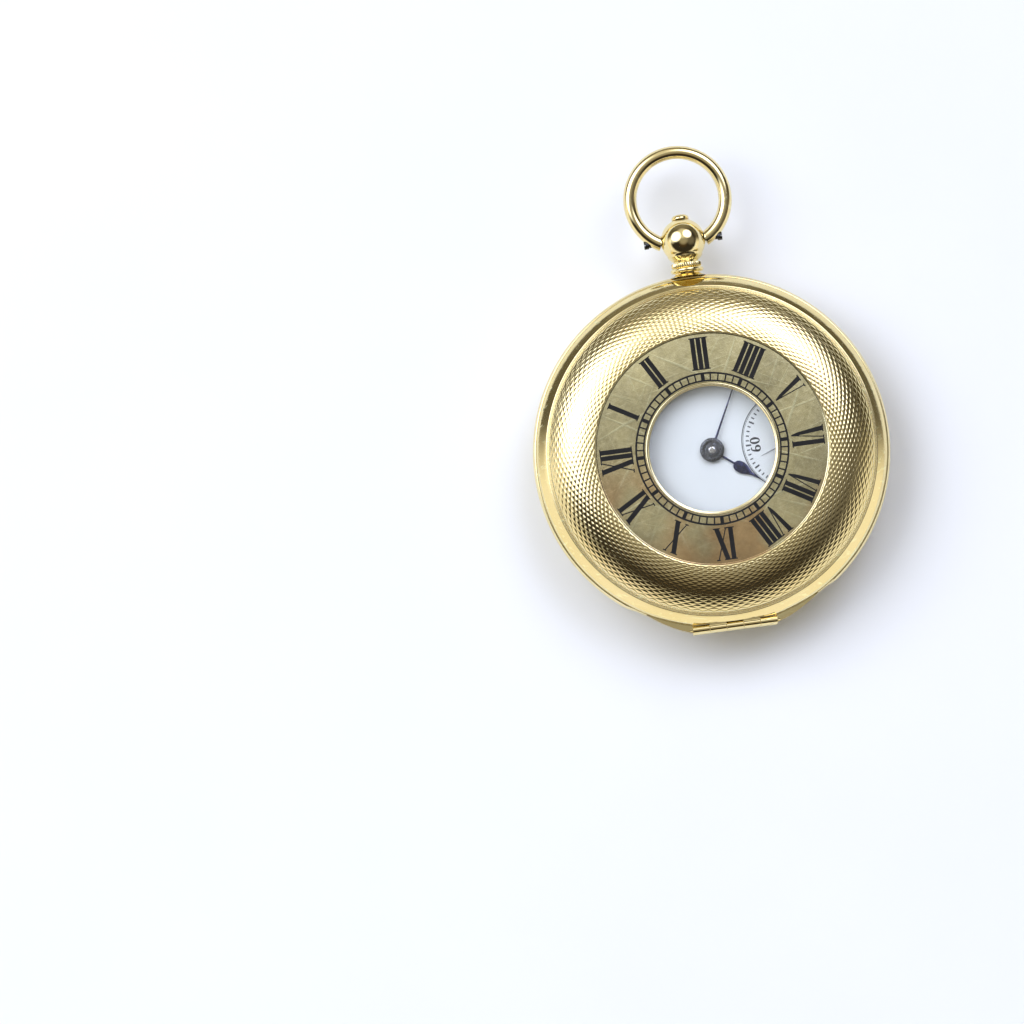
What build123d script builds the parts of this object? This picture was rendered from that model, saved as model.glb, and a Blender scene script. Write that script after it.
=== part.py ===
from build123d import *
import math
import os

# Key-wound half-hunter pocket watch, millimetres.
# +Z is the dial side, +Y points to the pendant at III o'clock, and XII is at -X.
# Levels are in the movement's own frame; LIFT puts the lowest point of the back cover on z = 0.
LIFT = 0.5
CENTRE = (0.0, 0.0)

# ---- case
CASE_R = 25.0                   # outermost radius of the case middle
LID_R = 24.8                    # outer radius of both covers
SHEET = 0.45                    # thickness of the covers
AXIS_Z = 7.1                    # height of the pendant axis; the case rims mirror about it
BAND_TOP, BAND_BOTTOM = AXIS_Z + 1.15, AXIS_Z - 1.15
BALL_Y, BALL_R = 30.2, 3.15     # ball of the pendant
BOW_Y, BOW_R, WIRE_R = 36.1, 6.75, 0.88

# ---- hinges, along X; an axis is (y, z) and a knuckle is (x start, x end)
HINGE_Y, HINGE_RISE = -24.75, 1.2
FRONT_HINGE = (HINGE_Y, AXIS_Z + HINGE_RISE)
BACK_HINGE = (HINGE_Y, AXIS_Z - HINGE_RISE)
HINGE_HALF = 6.0
KNUCKLE_R, PIN_R, PIN_RUN = 0.55, 0.24, 0.03
BAND_KNUCKLES = [(-HINGE_HALF, -3.63), (-1.17, 1.17), (3.63, HINGE_HALF)]
LID_KNUCKLES = [(-3.57, -1.23), (1.23, 3.57)]
CUVETTE_HINGE = (-22.35, 5.35)
CUVETTE_HALF = 4.0
CUVETTE_KNUCKLE_R, CUVETTE_HOLE_R, CUVETTE_PIN_R = 0.4, 0.2, 0.18
CUVETTE_BAND_KNUCKLES = [(-CUVETTE_HALF, -1.38), (1.38, CUVETTE_HALF)]
CUVETTE_KNUCKLE = (-1.32, 1.32)


# ---- helpers; angles are in degrees
def polar(radius, deg, at=CENTRE):
    turn = math.radians(deg)
    return (at[0] + radius * math.cos(turn), at[1] + radius * math.sin(turn))


def heading(start, end):
    return math.degrees(math.atan2(end[1] - start[1], end[0] - start[0]))


def centre_distance(teeth, leaves, module):
    return (teeth + leaves) * module / 2


def placed(at, deg):
    return Pos(at[0], at[1], 0) * Rot(0, 0, deg)


def cyl(radius, z0, z1, at=CENTRE):
    bottom = (Align.CENTER, Align.CENTER, Align.MIN)
    return Pos(at[0], at[1], z0) * Cylinder(radius, z1 - z0, align=bottom)


def ring(outer, inner, z0, z1, at=CENTRE):
    return cyl(outer, z0, z1, at) - cyl(inner, z0 - 1, z1 + 1, at)


def box(x0, x1, y0, y1, z0, z1):
    return Pos((x0 + x1) / 2, (y0 + y1) / 2, (z0 + z1) / 2) * Box(x1 - x0, y1 - y0, z1 - z0)


def xcyl(radius, x0, x1, y, z):
    return Pos((x0 + x1) / 2, y, z) * Rot(0, 90, 0) * Cylinder(radius, abs(x1 - x0))


def turned(profile):
    """Profile of (radius, z) turned about Z."""
    return revolve(make_face(Polyline(*[(r, 0, z) for r, z in profile], close=True)), axis=Axis.Z)


def turned_y(profile):
    """Profile of (radius, y) turned about the pendant axis."""
    face = make_face(Polyline(*[(r, y, 0) for r, y in profile], close=True))
    return Pos(0, 0, AXIS_Z) * revolve(face, axis=Axis.Y)


def plate(points, z0, z1):
    face = make_face(Polyline(*[(x, y, z0) for x, y in points], close=True))
    return extrude(face, z1 - z0, dir=(0, 0, 1))


def rotated(points, deg, at=CENTRE):
    c, s = math.cos(math.radians(deg)), math.sin(math.radians(deg))
    return [(at[0] + x * c - y * s, at[1] + x * s + y * c) for x, y in points]


def tapered_bar(a, half_a, b, half_b, z0, z1):
    deg = heading(a, b)
    corners = [polar(half_a, deg + 90, a), polar(half_a, deg - 90, a),
               polar(half_b, deg - 90, b), polar(half_b, deg + 90, b)]
    return plate(corners, z0, z1)


def rounded_bar(a, radius_a, b, radius_b, z0, z1):
    body = tapered_bar(a, radius_a, b, radius_b, z0, z1)
    return body + cyl(radius_a, z0, z1, a) + cyl(radius_b, z0, z1, b)


def arc_strip(r0, r1, deg0, deg1, z0, z1, step=3.0):
    n = max(2, int(abs(deg1 - deg0) / step))
    outer = [polar(r1, deg0 + (deg1 - deg0) * i / n) for i in range(n + 1)]
    inner = [polar(r0, deg1 + (deg0 - deg1) * i / n) for i in range(n + 1)]
    return plate(outer + inner, z0, z1)


def spiral(at, r0, r1, turns, width, z0, z1, steps_per_turn, start=0.0):
    n = int(turns * steps_per_turn)
    outer, inner = [], []
    for k in range(n + 1):
        deg = start + 360.0 * turns * k / n
        r = r0 + (r1 - r0) * k / n
        outer.append(polar(r + width / 2, deg, at))
        inner.append(polar(r - width / 2, deg, at))
    return plate(outer + inner[::-1], z0, z1)


def drill(body, radius, z0, z1, places):
    for at in places:
        body -= cyl(radius, z0, z1, at)
    return body


def joined(shapes):
    first, *rest = shapes
    for shape in rest:
        first += shape
    return first


def group(shapes):
    return Compound(children=[solid for shape in shapes for solid in shape.solids()])


def largest(shape):
    return max(shape.solids(), key=lambda solid: solid.volume)


def knuckle(x0, x1, axis, outer=KNUCKLE_R, hole=PIN_R + PIN_RUN):
    return xcyl(outer, x0, x1, *axis) - xcyl(hole, x0 - 1, x1 + 1, *axis)


def screw(at, z_head, head_r, head_h, shank_r, z_tip, slot_deg, slot=0.22):
    """Screw with its slotted head towards -Z."""
    z_under = z_head + head_h
    body = cyl(head_r, z_head, z_under, at) + cyl(shank_r, z_under, z_tip, at)
    body -= Pos(0, 0, z_head) * placed(at, slot_deg) * Box(head_r * 3, slot, head_h * 1.1)
    return body


# tooth outline: (0 root, 1 pitch circle, 2 flank, 3 tip; share of the half tooth angle)
TOOTH = [(0, -1.02), (1, -1.0), (2, -0.78), (3, -0.36), (3, 0.36), (2, 0.78), (1, 1.0), (0, 1.02)]
TOOTH_FILL = 0.8                # tooth thickness as a share of half the pitch


def gear(teeth, module, z0, z1, at, mate, addendum, dedendum, hole=0, gap=False):
    """Gear with a tooth, or a gap, facing its mate; addendum and dedendum are in modules."""
    pitch_r = teeth * module / 2
    radii = (pitch_r - dedendum * module, pitch_r,
             pitch_r + 0.6 * addendum * module, pitch_r + addendum * module)
    half_tooth = 90 / teeth * TOOTH_FILL
    phase = heading(at, mate) + (180 / teeth if gap else 0)
    points = [polar(radii[level], phase + 360 * i / teeth + half_tooth * share, at)
              for i in range(teeth) for level, share in TOOTH]
    body = plate(points, z0, z1)
    if hole:
        body -= cyl(hole, z0 - 1, z1 + 1, at)
    return body


def crossed_wheel(teeth, module, z0, z1, at, mate, hole, hub, rim):
    """Train wheel with four arms between hub and rim."""
    dedendum = 1.2
    inner = teeth * module / 2 - dedendum * module - rim
    half_arm = 0.075 * inner + 0.12
    window = ring(inner, hub, z0 - 0.5, z1 + 0.5, at)
    for k in range(4):
        window -= placed(at, 90 * k) * box(0, inner + 1, -half_arm, half_arm, z0 - 1, z1 + 1)
    return gear(teeth, module, z0, z1, at, mate, 1.0, dedendum, hole) - window


# ---- movement layout: each pair is wheel teeth, pinion leaves, module
BARREL_TEETH, CENTRE_LEAVES, BARREL_MODULE = 80, 10, 0.18
CENTRE_TEETH, THIRD_LEAVES, CENTRE_MODULE = 64, 8, 0.17
THIRD_TEETH, FOURTH_LEAVES, THIRD_MODULE = 60, 8, 0.165
FOURTH_TEETH, ESCAPE_LEAVES, FOURTH_MODULE = 70, 7, 0.13
MINUTE_TEETH, CANNON_LEAVES, MOTION_MODULE = 30, 10, 0.14
HOUR_TEETH, MINUTE_LEAVES = 32, 8

BARREL = polar(centre_distance(BARREL_TEETH, CENTRE_LEAVES, BARREL_MODULE), 135)
FOURTH = (11.4, 0.0)
# the third arbor lies at its meshing distances from both the centre and the fourth arbor
_centre_third = centre_distance(CENTRE_TEETH, THIRD_LEAVES, CENTRE_MODULE)
_third_fourth = centre_distance(THIRD_TEETH, FOURTH_LEAVES, THIRD_MODULE)
_third_x = (_centre_third ** 2 - _third_fourth ** 2 + FOURTH[0] ** 2) / (2 * FOURTH[0])
THIRD = (_third_x, -math.sqrt(_centre_third ** 2 - _third_x ** 2))
ESCAPE = polar(centre_distance(FOURTH_TEETH, ESCAPE_LEAVES, FOURTH_MODULE), -80, FOURTH)
ESCAPE_LINE = -135.0            # direction escape wheel -> pallets -> balance
ESCAPE_R, PALLET_DIST, BALANCE_DIST = 3.2, 3.7, 4.2
PALLET = polar(PALLET_DIST, ESCAPE_LINE, ESCAPE)
BALANCE = polar(PALLET_DIST + BALANCE_DIST, ESCAPE_LINE, ESCAPE)
MOTION_DIST = centre_distance(MINUTE_TEETH, CANNON_LEAVES, MOTION_MODULE)
HOUR_MODULE = 2 * MOTION_DIST / (MINUTE_LEAVES + HOUR_TEETH)
MINUTE = polar(MOTION_DIST, 200)
PLATE_R, TOP_PLATE_R = 20.7, 18.9
PILLARS = [polar(17.3, deg) for deg in (-5, 78, 165, 225)]
DOGS = [polar(19.15, deg) for deg in (50, 250)]
DIAL_FEET = [polar(17.6, deg) for deg in (40, 160, 280)]
COCK_FOOT = (-2.6, -14.9)
BRIDGE_FOOT = (14.5, -10.4)
STUD = polar(3.5, 205, BALANCE)
CLICK_DEG = 62
CLICK_AT = polar(5.1, CLICK_DEG, BARREL)
CLICK_SPRING_FOOT = polar(7.3, CLICK_DEG - 38, BARREL)
JEWEL_R, JEWEL_HOLE_R = 0.55, 0.15
PIVOT_R, PIVOT_BOTTOM, PIVOT_TOP = 0.13, 3.9, 7.4


# ================= case
def case_middle():
    section = [
        (LID_R, BAND_BOTTOM), (24.93, 6.3), (CASE_R, AXIS_Z), (24.93, 7.9), (LID_R, BAND_TOP),
        (24.2, BAND_TOP), (24.2, 6.6), (21.4, 6.6), (21.4, 8.6), (20.75, 8.6), (20.75, 6.95),
        (20.0, 6.95), (20.0, BAND_BOTTOM), (21.3, BAND_BOTTOM), (21.3, 5.2), (21.7, 5.2),
        (21.7, BAND_BOTTOM)]
    band = turned(section)
    # tapered bolster around the hinges; (x, y) of its outer edge on the +X side
    edge = [(6.0, -25.1), (7.4, -24.62), (8.8, -23.97), (10.1, -23.22), (11.3, -22.42),
            (12.2, -21.75)]
    inner_edge = [(10.4, -22.4), (0, -24.6), (-10.4, -22.4)]
    band += plate([(-x, y) for x, y in reversed(edge)] + edge + inner_edge, 6.05, 8.15)
    # the collar is interrupted at the inner cover's hinge
    band -= box(-12, 12, -23, -17.9, 4, BAND_BOTTOM)
    for axis, below, above in ((FRONT_HINGE, 0.75, 0), (BACK_HINGE, 0, 0.75)):
        y, z = axis
        band -= xcyl(KNUCKLE_R + 0.06, -HINGE_HALF - 0.03, HINGE_HALF + 0.03, y, z)
        for x0, x1 in BAND_KNUCKLES:
            web = box(x0, x1, y - 0.3, -24.2, z - below, z + above)
            band += web - xcyl(KNUCKLE_R - 0.1, x0 - 1, x1 + 1, y, z)
        band += joined([knuckle(x0, x1, axis) for x0, x1 in BAND_KNUCKLES])
    y, z = CUVETTE_HINGE
    for x0, x1 in CUVETTE_BAND_KNUCKLES:
        web = box(x0, x1, y - 0.38, y + 0.38, z, BAND_BOTTOM + 0.05)
        web -= xcyl(CUVETTE_HOLE_R, x0 - 1, x1 + 1, y, z)
        band += web + knuckle(x0, x1, CUVETTE_HINGE, CUVETTE_KNUCKLE_R, CUVETTE_HOLE_R)
    for axis in (FRONT_HINGE, BACK_HINGE):
        band -= xcyl(PIN_R + 0.005, -6.4, 6.4, *axis)
    band -= xcyl(CUVETTE_PIN_R + 0.005, -4.4, 4.4, *CUVETTE_HINGE)
    # bore for the push piece, y 21.8 to 26
    band -= Pos(0, 23.9, AXIS_Z) * Rot(90, 0, 0) * Cylinder(0.8, 4.2)
    return drill(band, 0.42, 6.1, 7, [polar(SPRING_SCREW_R, deg) for deg in SPRING_SCREW_DEGS])


def hinge_pins():
    return group([
        xcyl(PIN_R, -HINGE_HALF, HINGE_HALF, *FRONT_HINGE),
        xcyl(PIN_R, -HINGE_HALF, HINGE_HALF, *BACK_HINGE),
        xcyl(CUVETTE_PIN_R, -CUVETTE_HALF, CUVETTE_HALF, *CUVETTE_HINGE)])


def pendant():
    """Neck, reeded collar and ball in one turned piece."""
    bore, seat, ball_start_y = 0.78, 1.42, 27.35
    profile = [
        (bore, 24.95), (2.6, 24.95), (2.35, 25.25), (1.75, 25.5), (1.55, 25.7), (2.15, 25.78),
        (2.28, 25.95), (2.28, 26.3), (2.15, 26.5), (1.6, 26.6), (1.5, 26.8), (1.62, 27.05),
        (1.95, ball_start_y)]
    deg0 = math.degrees(math.acos((ball_start_y - BALL_Y) / BALL_R))
    deg1 = math.degrees(math.asin(seat / BALL_R))
    for k in range(1, 25):
        turn = math.radians(deg0 + (deg1 - deg0) * k / 24)
        profile.append((BALL_R * math.sin(turn), BALL_Y + BALL_R * math.cos(turn)))
    profile += [(seat, 32.3), (bore, 32.3)]
    body = turned_y(profile)
    to_collar = Pos(2.34, 26.12, 0) * Rot(90, 0, 0)
    body -= joined([Pos(0, 0, AXIS_Z) * Rot(0, 10 * k, 0) * to_collar * Cylinder(0.1, 0.6)
                    for k in range(36)])
    body -= cyl(CASE_R, AXIS_Z - 4, AXIS_Z + 4)
    for side in (-1, 1):
        body -= xcyl(0.43, side * 1.75, side * 4, BALL_Y, AXIS_Z)
    return body


def bow():
    body = Pos(0, BOW_Y, AXIS_Z) * Torus(BOW_R, WIRE_R)
    body -= Pos(0, BALL_Y, AXIS_Z) * Sphere(BALL_R + 0.06)
    body -= box(-3.0, 3.0, 27, 31.5, 5, 9)
    body -= joined([xcyl(radius, x0, x1, BALL_Y, AXIS_Z)
                    for radius, x0, x1 in ((0.41, -6.5, 6.5), (0.6, 4.9, 7.0), (0.6, -7.0, -4.9))])
    return largest(body)


def bow_screws():
    screws = []
    head_x = 4.9
    for side in (-1, 1):
        body = (xcyl(0.4, side * 1.85, side * head_x, BALL_Y, AXIS_Z)
                + xcyl(0.56, side * head_x, side * 5.55, BALL_Y, AXIS_Z))
        screws.append(body - Pos(side * 5.5, BALL_Y, AXIS_Z) * Box(0.3, 0.16, 2))
    return joined(screws)


def push_piece():
    return turned_y([
        (0.0, 22.95), (0.6, 22.95), (0.72, 23.1), (0.72, 33.2), (1.3, 33.2), (1.33, 33.5),
        (1.22, 33.72), (0.9, 33.88), (0.0, 33.98)])


# ---- lock and fly springs, curved strips lying inside the case middle
SPRING_SCREW_R = 22.5
SPRING_SCREW_DEGS = LOCK_DEG, FLY_DEG = 150, 210
SPRING_Z = 6.9


def lock_spring():
    spring = (arc_strip(22.35, 22.85, 86, 146, SPRING_Z, 8.0)
              + arc_strip(21.95, 23.05, 144, 154, SPRING_Z, 7.5)
              + arc_strip(22.35, 23.15, 86, 94, 7.95, 8.2))
    return spring - cyl(0.36, 6, 9, polar(SPRING_SCREW_R, LOCK_DEG))


def fly_spring():
    spring = (arc_strip(22.35, 22.8, 214, 262, SPRING_Z, 8.0)
              + arc_strip(21.95, 23.05, 206, 216, SPRING_Z, 7.5))
    return spring - cyl(0.36, 6, 9, polar(SPRING_SCREW_R, FLY_DEG))


def case_spring_screws():
    screws = []
    for deg in SPRING_SCREW_DEGS:
        at = polar(SPRING_SCREW_R, deg)
        body = cyl(0.34, 6.15, 7.53, at) + cyl(0.62, 7.53, 7.9, at)
        screws.append(body - Pos(0, 0, 7.85) * placed(at, deg) * Box(1.6, 0.16, 0.3))
    return joined(screws)


# ---- covers; side is +1 for the front one and -1 for the back one
# (radius, fall from the edge of the field towards the rim)
RIM_STEPS = [(23.1, 0.22), (23.12, 0.3), (23.35, 0.42), (23.37, 0.5), (23.6, 0.6), (23.62, 0.68)]
# (radius, distance from the pendant axis height)
RIM_EDGE = [(24.0, 2.12), (24.35, 1.98), (24.6, 1.78), (24.76, 1.52), (LID_R, 1.23)]


def cover_rim(field_edge_z, side):
    return ([(r, field_edge_z - side * fall) for r, fall in RIM_STEPS]
            + [(r, AXIS_Z + side * rise) for r, rise in RIM_EDGE])


def add_hinge(cover, side):
    """Notches the rim, closes the wall behind the notch and adds the two knuckles."""
    axis = (HINGE_Y, AXIS_Z + side * HINGE_RISE)
    half = HINGE_HALF + 0.06

    def span(near, far):
        return sorted((AXIS_Z + side * near, AXIS_Z + side * far))

    cover -= box(-half, half, -26, -24.05, *span(0.9, 1.83))
    low, high = span(1.23, 1.9)
    wall = turned([(22.9, low), (24.6, low), (24.6, high), (22.9, high)])
    cover += box(-half, half, -24.2, -23.9, *span(1.3, 1.83)) & wall
    for x0, x1 in LID_KNUCKLES:
        web = box(x0, x1, HINGE_Y, -23.95, *span(1.25, 1.85))
        web -= xcyl(KNUCKLE_R - 0.1, x0 - 1, x1 + 1, *axis)
        cover += web + knuckle(x0, x1, axis)
    return cover


DISC_R, DISC_Z = 16.4, 12.70    # flat chapter disc of the front cover: radius and top
OPENING_R = 9.68                # hole in the disc
FIELD_R = 22.85                 # outer radius of the engine-turned field
FIELD_ARC_R, FIELD_ARC_START = 13.5, 8      # its section arc: radius, start angle from vertical


def front_cover():
    start = math.radians(FIELD_ARC_START)
    arc_x = DISC_R + 0.1 - FIELD_ARC_R * math.sin(start)
    arc_z = DISC_Z + 0.08 - FIELD_ARC_R * math.cos(start)
    arc_end = math.degrees(math.asin((FIELD_R - arc_x) / FIELD_ARC_R))

    def arc(radius, deg0, deg1, n=14):
        turns = [math.radians(deg0 + (deg1 - deg0) * i / n) for i in range(n + 1)]
        return [(arc_x + radius * math.sin(t), arc_z + radius * math.cos(t)) for t in turns]

    outer = [(OPENING_R, DISC_Z), (DISC_R, DISC_Z)] + arc(FIELD_ARC_R, FIELD_ARC_START, arc_end)
    outer += cover_rim(outer[-1][1], 1)
    inner = [(24.1, 8.33), (24.05, 8.75), (23.4, 8.85), (22.95, 9.15)]
    inner += arc(FIELD_ARC_R - SHEET, arc_end - 1.0, FIELD_ARC_START)
    inner += [(DISC_R - 0.2, DISC_Z - SHEET), (OPENING_R, DISC_Z - SHEET)]
    return largest(add_hinge(turned(outer + inner), 1))


def aperture_bezel():
    return turned([
        (8.85, 12.0), (9.66, 12.0), (9.66, 12.74), (9.6, 12.86), (9.42, 12.92), (9.22, 12.87),
        (9.13, 12.74), (9.13, 12.2), (8.85, 12.2)])


def glass_dome(radius, z_edge, z_middle, thick):
    """Shallow spherical glass; the levels are those of its underside."""
    rise = z_middle - z_edge
    sphere_r = (radius ** 2 + rise ** 2) / (2 * rise)
    under = [(r, 0, z_middle - sphere_r + math.sqrt(sphere_r ** 2 - r ** 2))
             for r in (radius, radius / 2, 0)]
    over = [(x, y, z + thick) for x, y, z in reversed(under)]
    outline = (ThreePointArc(*over) + Line(over[-1], under[0])
               + ThreePointArc(*under) + Line(under[-1], over[0]))
    return revolve(make_face(outline), axis=Axis.Z)


def aperture_glass():
    return glass_dome(9.1, 12.22, 12.42, 0.42)


# ---- enamel chapter on the front cover
ROMAN = ["XII", "I", "II", "III", "IIII", "V", "VI", "VII", "VIII", "IX", "X", "XI"]
ENAMEL_Z = (DISC_Z, DISC_Z + 0.03)
NUMERAL_R0, NUMERAL_R1 = 11.3, 15.8     # foot and head of the letters
THICK, THIN, SERIF = 0.46, 0.13, 0.17   # stroke widths and serif overhang
LETTER_GAP, SLANT = 0.15, 0.95
LETTER_WIDTH = {"I": THICK, "V": SLANT + THICK, "X": SLANT * 1.15 + THICK}


def numeral(text, deg):
    """Letters drawn with x across and y outward, fanned so that their heads spread."""
    middle_r = (NUMERAL_R0 + NUMERAL_R1) / 2
    low, high = NUMERAL_R0 / middle_r, NUMERAL_R1 / middle_r
    shapes = []

    def quad(foot_left, foot_right, head_left, head_right, y0=NUMERAL_R0, y1=NUMERAL_R1):
        corners = [(foot_left, y0), (foot_right, y0), (head_right, y1), (head_left, y1)]
        shapes.append(plate(rotated([(y, -x) for x, y in corners], deg), *ENAMEL_Z))

    def stroke(foot_x, head_x, width):
        quad(foot_x - width / 2, foot_x + width / 2, head_x - width / 2, head_x + width / 2)

    def serif(x, at_head, width):
        half = width / 2 + SERIF
        y0 = NUMERAL_R1 - THIN if at_head else NUMERAL_R0
        quad(x - half, x + half, x - half, x + half, y0, y0 + THIN)

    x = -(sum(LETTER_WIDTH[c] + LETTER_GAP for c in text) - LETTER_GAP) / 2
    for letter in text:
        width = LETTER_WIDTH[letter]
        if letter == "I":
            mid = x + width / 2
            stroke(mid * low, mid * high, THICK)
            serif(mid * low, False, THICK)
            serif(mid * high, True, THICK)
        elif letter == "V":
            left, right = x + THICK / 2, x + width - THIN / 2
            foot = (left + right) / 2 * low
            for head, line, overhang in ((left * high, THICK, 0.6), (right * high, THIN, 0.4)):
                quad(foot - THIN * overhang, foot + THIN * 0.5, head - line / 2, head + line / 2)
            serif(left * high, True, THICK)
            serif(right * high, True, THIN)
        else:
            left, right = x + THICK / 2, x + width - THICK / 2
            stroke(right * low, left * high, THICK)
            stroke(left * low, right * high, THIN)
            serif(right * low, False, THICK)
            serif(left * high, True, THICK)
            serif(left * low, False, THIN)
            serif(right * high, True, THIN)
        x += width + LETTER_GAP
    return joined(shapes)


def chapter_enamel():
    numerals = [numeral(text, 180 - 30 * hour) for hour, text in enumerate(ROMAN)]
    track = ring(10.08, 9.9, *ENAMEL_Z) + ring(10.86, 10.68, *ENAMEL_Z)
    for k in range(60):
        half = (0.13 if k % 5 else 0.40) / 2
        track += Rot(0, 0, 6 * k) * box(10.0, 10.75, -half, half, *ENAMEL_Z)
    return group(numerals + [track])


BACK_FLAT_R, BACK_SPAN, BACK_STEPS = 8.0, 14.9, 16
BACK_FLAT_Z, BACK_RISE = -0.25, 4.25


def back_z(r):
    return BACK_FLAT_Z + BACK_RISE * (max(r - BACK_FLAT_R, 0.0) / BACK_SPAN) ** 2.6


def back_cover():
    radii = [BACK_FLAT_R + BACK_SPAN * i / BACK_STEPS for i in range(1, BACK_STEPS + 1)]
    outer = [(0, BACK_FLAT_Z), (BACK_FLAT_R, BACK_FLAT_Z)] + [(r, back_z(r)) for r in radii]
    outer += cover_rim(BACK_FLAT_Z + BACK_RISE, -1)
    inner = [(24.1, 5.87), (24.05, 5.45), (23.4, 5.3), (22.85, 4.9)]
    # inner face offset square to the outer one by the sheet thickness
    for r in reversed(radii):
        slope = (back_z(r + 0.01) - back_z(r - 0.01)) / 0.02
        rise = SHEET / math.sqrt(1 + slope * slope)
        inner_r = r - rise * slope
        if inner_r < inner[-1][0] - 0.05:
            inner.append((inner_r, back_z(r) + rise))
    inner += [(BACK_FLAT_R, BACK_FLAT_Z + SHEET), (0, BACK_FLAT_Z + SHEET)]
    cover = turned(outer + inner)
    # raised square cartouche, which the closed watch rests on
    cover += box(-6.5, 6.5, -6.5, 6.5, -LIFT, -0.1)
    cover = add_hinge(cover, -1)
    cover += arc_strip(24.5, 25.35, 57.5, 62.5, 5.62, 5.87, 1.0)    # nail lip
    return largest(cover)


def inner_cover():
    """Cuvette with its two keyholes."""
    outer = [
        (22.1, 5.85), (22.1, 5.0), (21.9, 4.45), (21.3, 3.7), (20.5, 3.08), (19.5, 2.5),
        (18.5, 2.02), (17.0, 1.5), (15.0, 1.2), (12.0, 1.1), (0, 1.1)]
    inner = [
        (0, 1.45), (12.0, 1.45), (14.95, 1.55), (16.88, 1.84), (18.3, 2.34), (19.3, 2.82),
        (20.25, 3.38), (21.0, 3.95), (21.5, 4.6), (21.72, 5.1), (21.72, 5.85)]
    cover = turned(outer + inner)
    cover -= box(-4.4, 4.4, -23, -21.2, 4.95, 6)
    x0, x1 = CUVETTE_KNUCKLE
    web = box(x0, x1, CUVETTE_HINGE[0], -21.3, 4.9, 5.3) - xcyl(0.3, -2, 2, *CUVETTE_HINGE)
    cover += web + knuckle(x0, x1, CUVETTE_HINGE, CUVETTE_KNUCKLE_R, CUVETTE_HOLE_R)
    cover = drill(cover, 1.9, 0.5, 2.5, (CENTRE, BARREL))
    cover += arc_strip(21.9, 22.55, 108, 113, 5.6, 5.85, 1.0)       # nail lip
    return largest(cover)


def glass_bezel():
    return turned([
        (20.8, 8.65), (22.75, 8.65), (22.85, 8.8), (22.7, 9.1), (22.0, 9.7), (21.2, 10.4),
        (20.7, 10.72), (20.35, 10.75), (20.2, 10.62), (20.2, 10.3), (19.7, 10.3), (19.7, 10.1),
        (20.4, 9.85), (20.8, 9.5)])


def main_crystal():
    return glass_dome(20.18, 10.32, 11.3, 0.35)


# ================= dial and hands
def dial():
    body = cyl(20.4, 9.05, 9.75) - cyl(1.3, 8, 11) - cyl(0.42, 8, 11, FOURTH)
    for at in DIAL_FEET:
        body += cyl(0.4, 7.9, 9.06, at)
    return body


def blade(half_outline, deg, z0, z1, at=CENTRE):
    """Hand from its (distance along, half width) outline."""
    other_half = [(x, -y) for x, y in reversed(half_outline)]
    return plate(rotated(half_outline + other_half, deg, at), z0, z1)


def hour_hand():
    outline = [(1.2, 0.16), (3.55, 0.1), (3.75, 0.24), (4.1, 0.44), (4.6, 0.56), (5.1, 0.56),
               (5.6, 0.44), (6.05, 0.26), (6.5, 0.14), (8.35, 0.03)]
    hand = blade(outline, -38.4, 10.0, 10.14) + ring(1.68, 1.04, 9.96, 10.16)
    return hand - cyl(1.04, 9, 11)


def minute_hand():
    outline = [(1.0, 0.17), (4.0, 0.11), (9.5, 0.07), (10.6, 0.09), (11.2, 0.28), (11.9, 0.36),
               (12.6, 0.26), (13.2, 0.1), (15.4, 0.03)]
    hand = blade(outline, 63.9, 10.33, 10.45) + cyl(1.5, 10.31, 10.5)
    return hand - cyl(0.55, 9, 11)


def seconds_hand():
    hole = 0.125
    outline = [(-1.6, 0.12), (-0.5, 0.07), (0.4, 0.07), (4.7, 0.03)]
    hand = blade(outline, 200.0, 9.88, 9.97, FOURTH)
    hand += ring(0.42, hole, 9.85, 10.0, FOURTH)
    hand += ring(0.26, hole, 9.2, 9.86, FOURTH)
    return hand - cyl(hole, 9, 11, FOURTH)


# ================= plates
def pillar_plate():
    body = turned([(0, 7.0), (PLATE_R, 7.0), (PLATE_R, 8.6), (20.55, 9.05), (19.7, 9.05),
                   (19.7, 8.2), (0, 8.2)])
    body -= cyl(0.62, 6, 9)
    body = drill(body, JEWEL_R, 6, 9, (THIRD, FOURTH, ESCAPE, PALLET, BALANCE))
    body -= cyl(0.66, 6, 9, BARREL)
    body -= cyl(1.6, 7.9, 9) - cyl(0.62, 7, 9)
    body = drill(body, 0.45, 7.5, 9, DIAL_FEET)
    body = drill(body, 0.5, 6.9, 7.7, PILLARS + [COCK_FOOT, BRIDGE_FOOT])
    body = drill(body, 0.42, 6.9, 7.9, DOGS)
    return body - cyl(0.27, 7.6, 9, MINUTE)


def pillars():
    profile = [
        (0.55, 4.3), (1.25, 4.3), (1.25, 4.6), (0.95, 4.9), (0.95, 6.4), (1.25, 6.7),
        (1.25, 7.0), (0.49, 7.0), (0.49, 7.6), (0, 7.6), (0, 5.6), (0.55, 5.6)]
    return group([Pos(x, y, 0) * turned(profile) for x, y in PILLARS])


def top_plate():
    body = cyl(TOP_PLATE_R, 3.2, 4.3)
    # cut straight across on the balance side
    body -= Rot(0, 0, heading(CENTRE, BALANCE)) * box(10.95, 30, -30, 30, 2, 5)
    body -= cyl(7.0, 2, 5, BALANCE) + cyl(2.15, 2, 5, COCK_FOOT)
    body -= cyl(0.62, 3, 5)
    body = drill(body, JEWEL_R, 3, 5, (THIRD, FOURTH, ESCAPE))
    body -= cyl(0.86, 3, 5, BARREL)
    for at in PILLARS:
        body -= cyl(0.56, 3, 5, at) + cyl(1.12, 3.0, 3.55, at)
    body -= cyl(0.32, 3.0, 3.9, CLICK_AT)
    return largest(body)


def case_screws():
    return group([screw(at, 5.5, 1.15, 0.42, 0.4, 7.85, 20 + 70 * i)
                  for i, at in enumerate(DOGS)])


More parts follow.
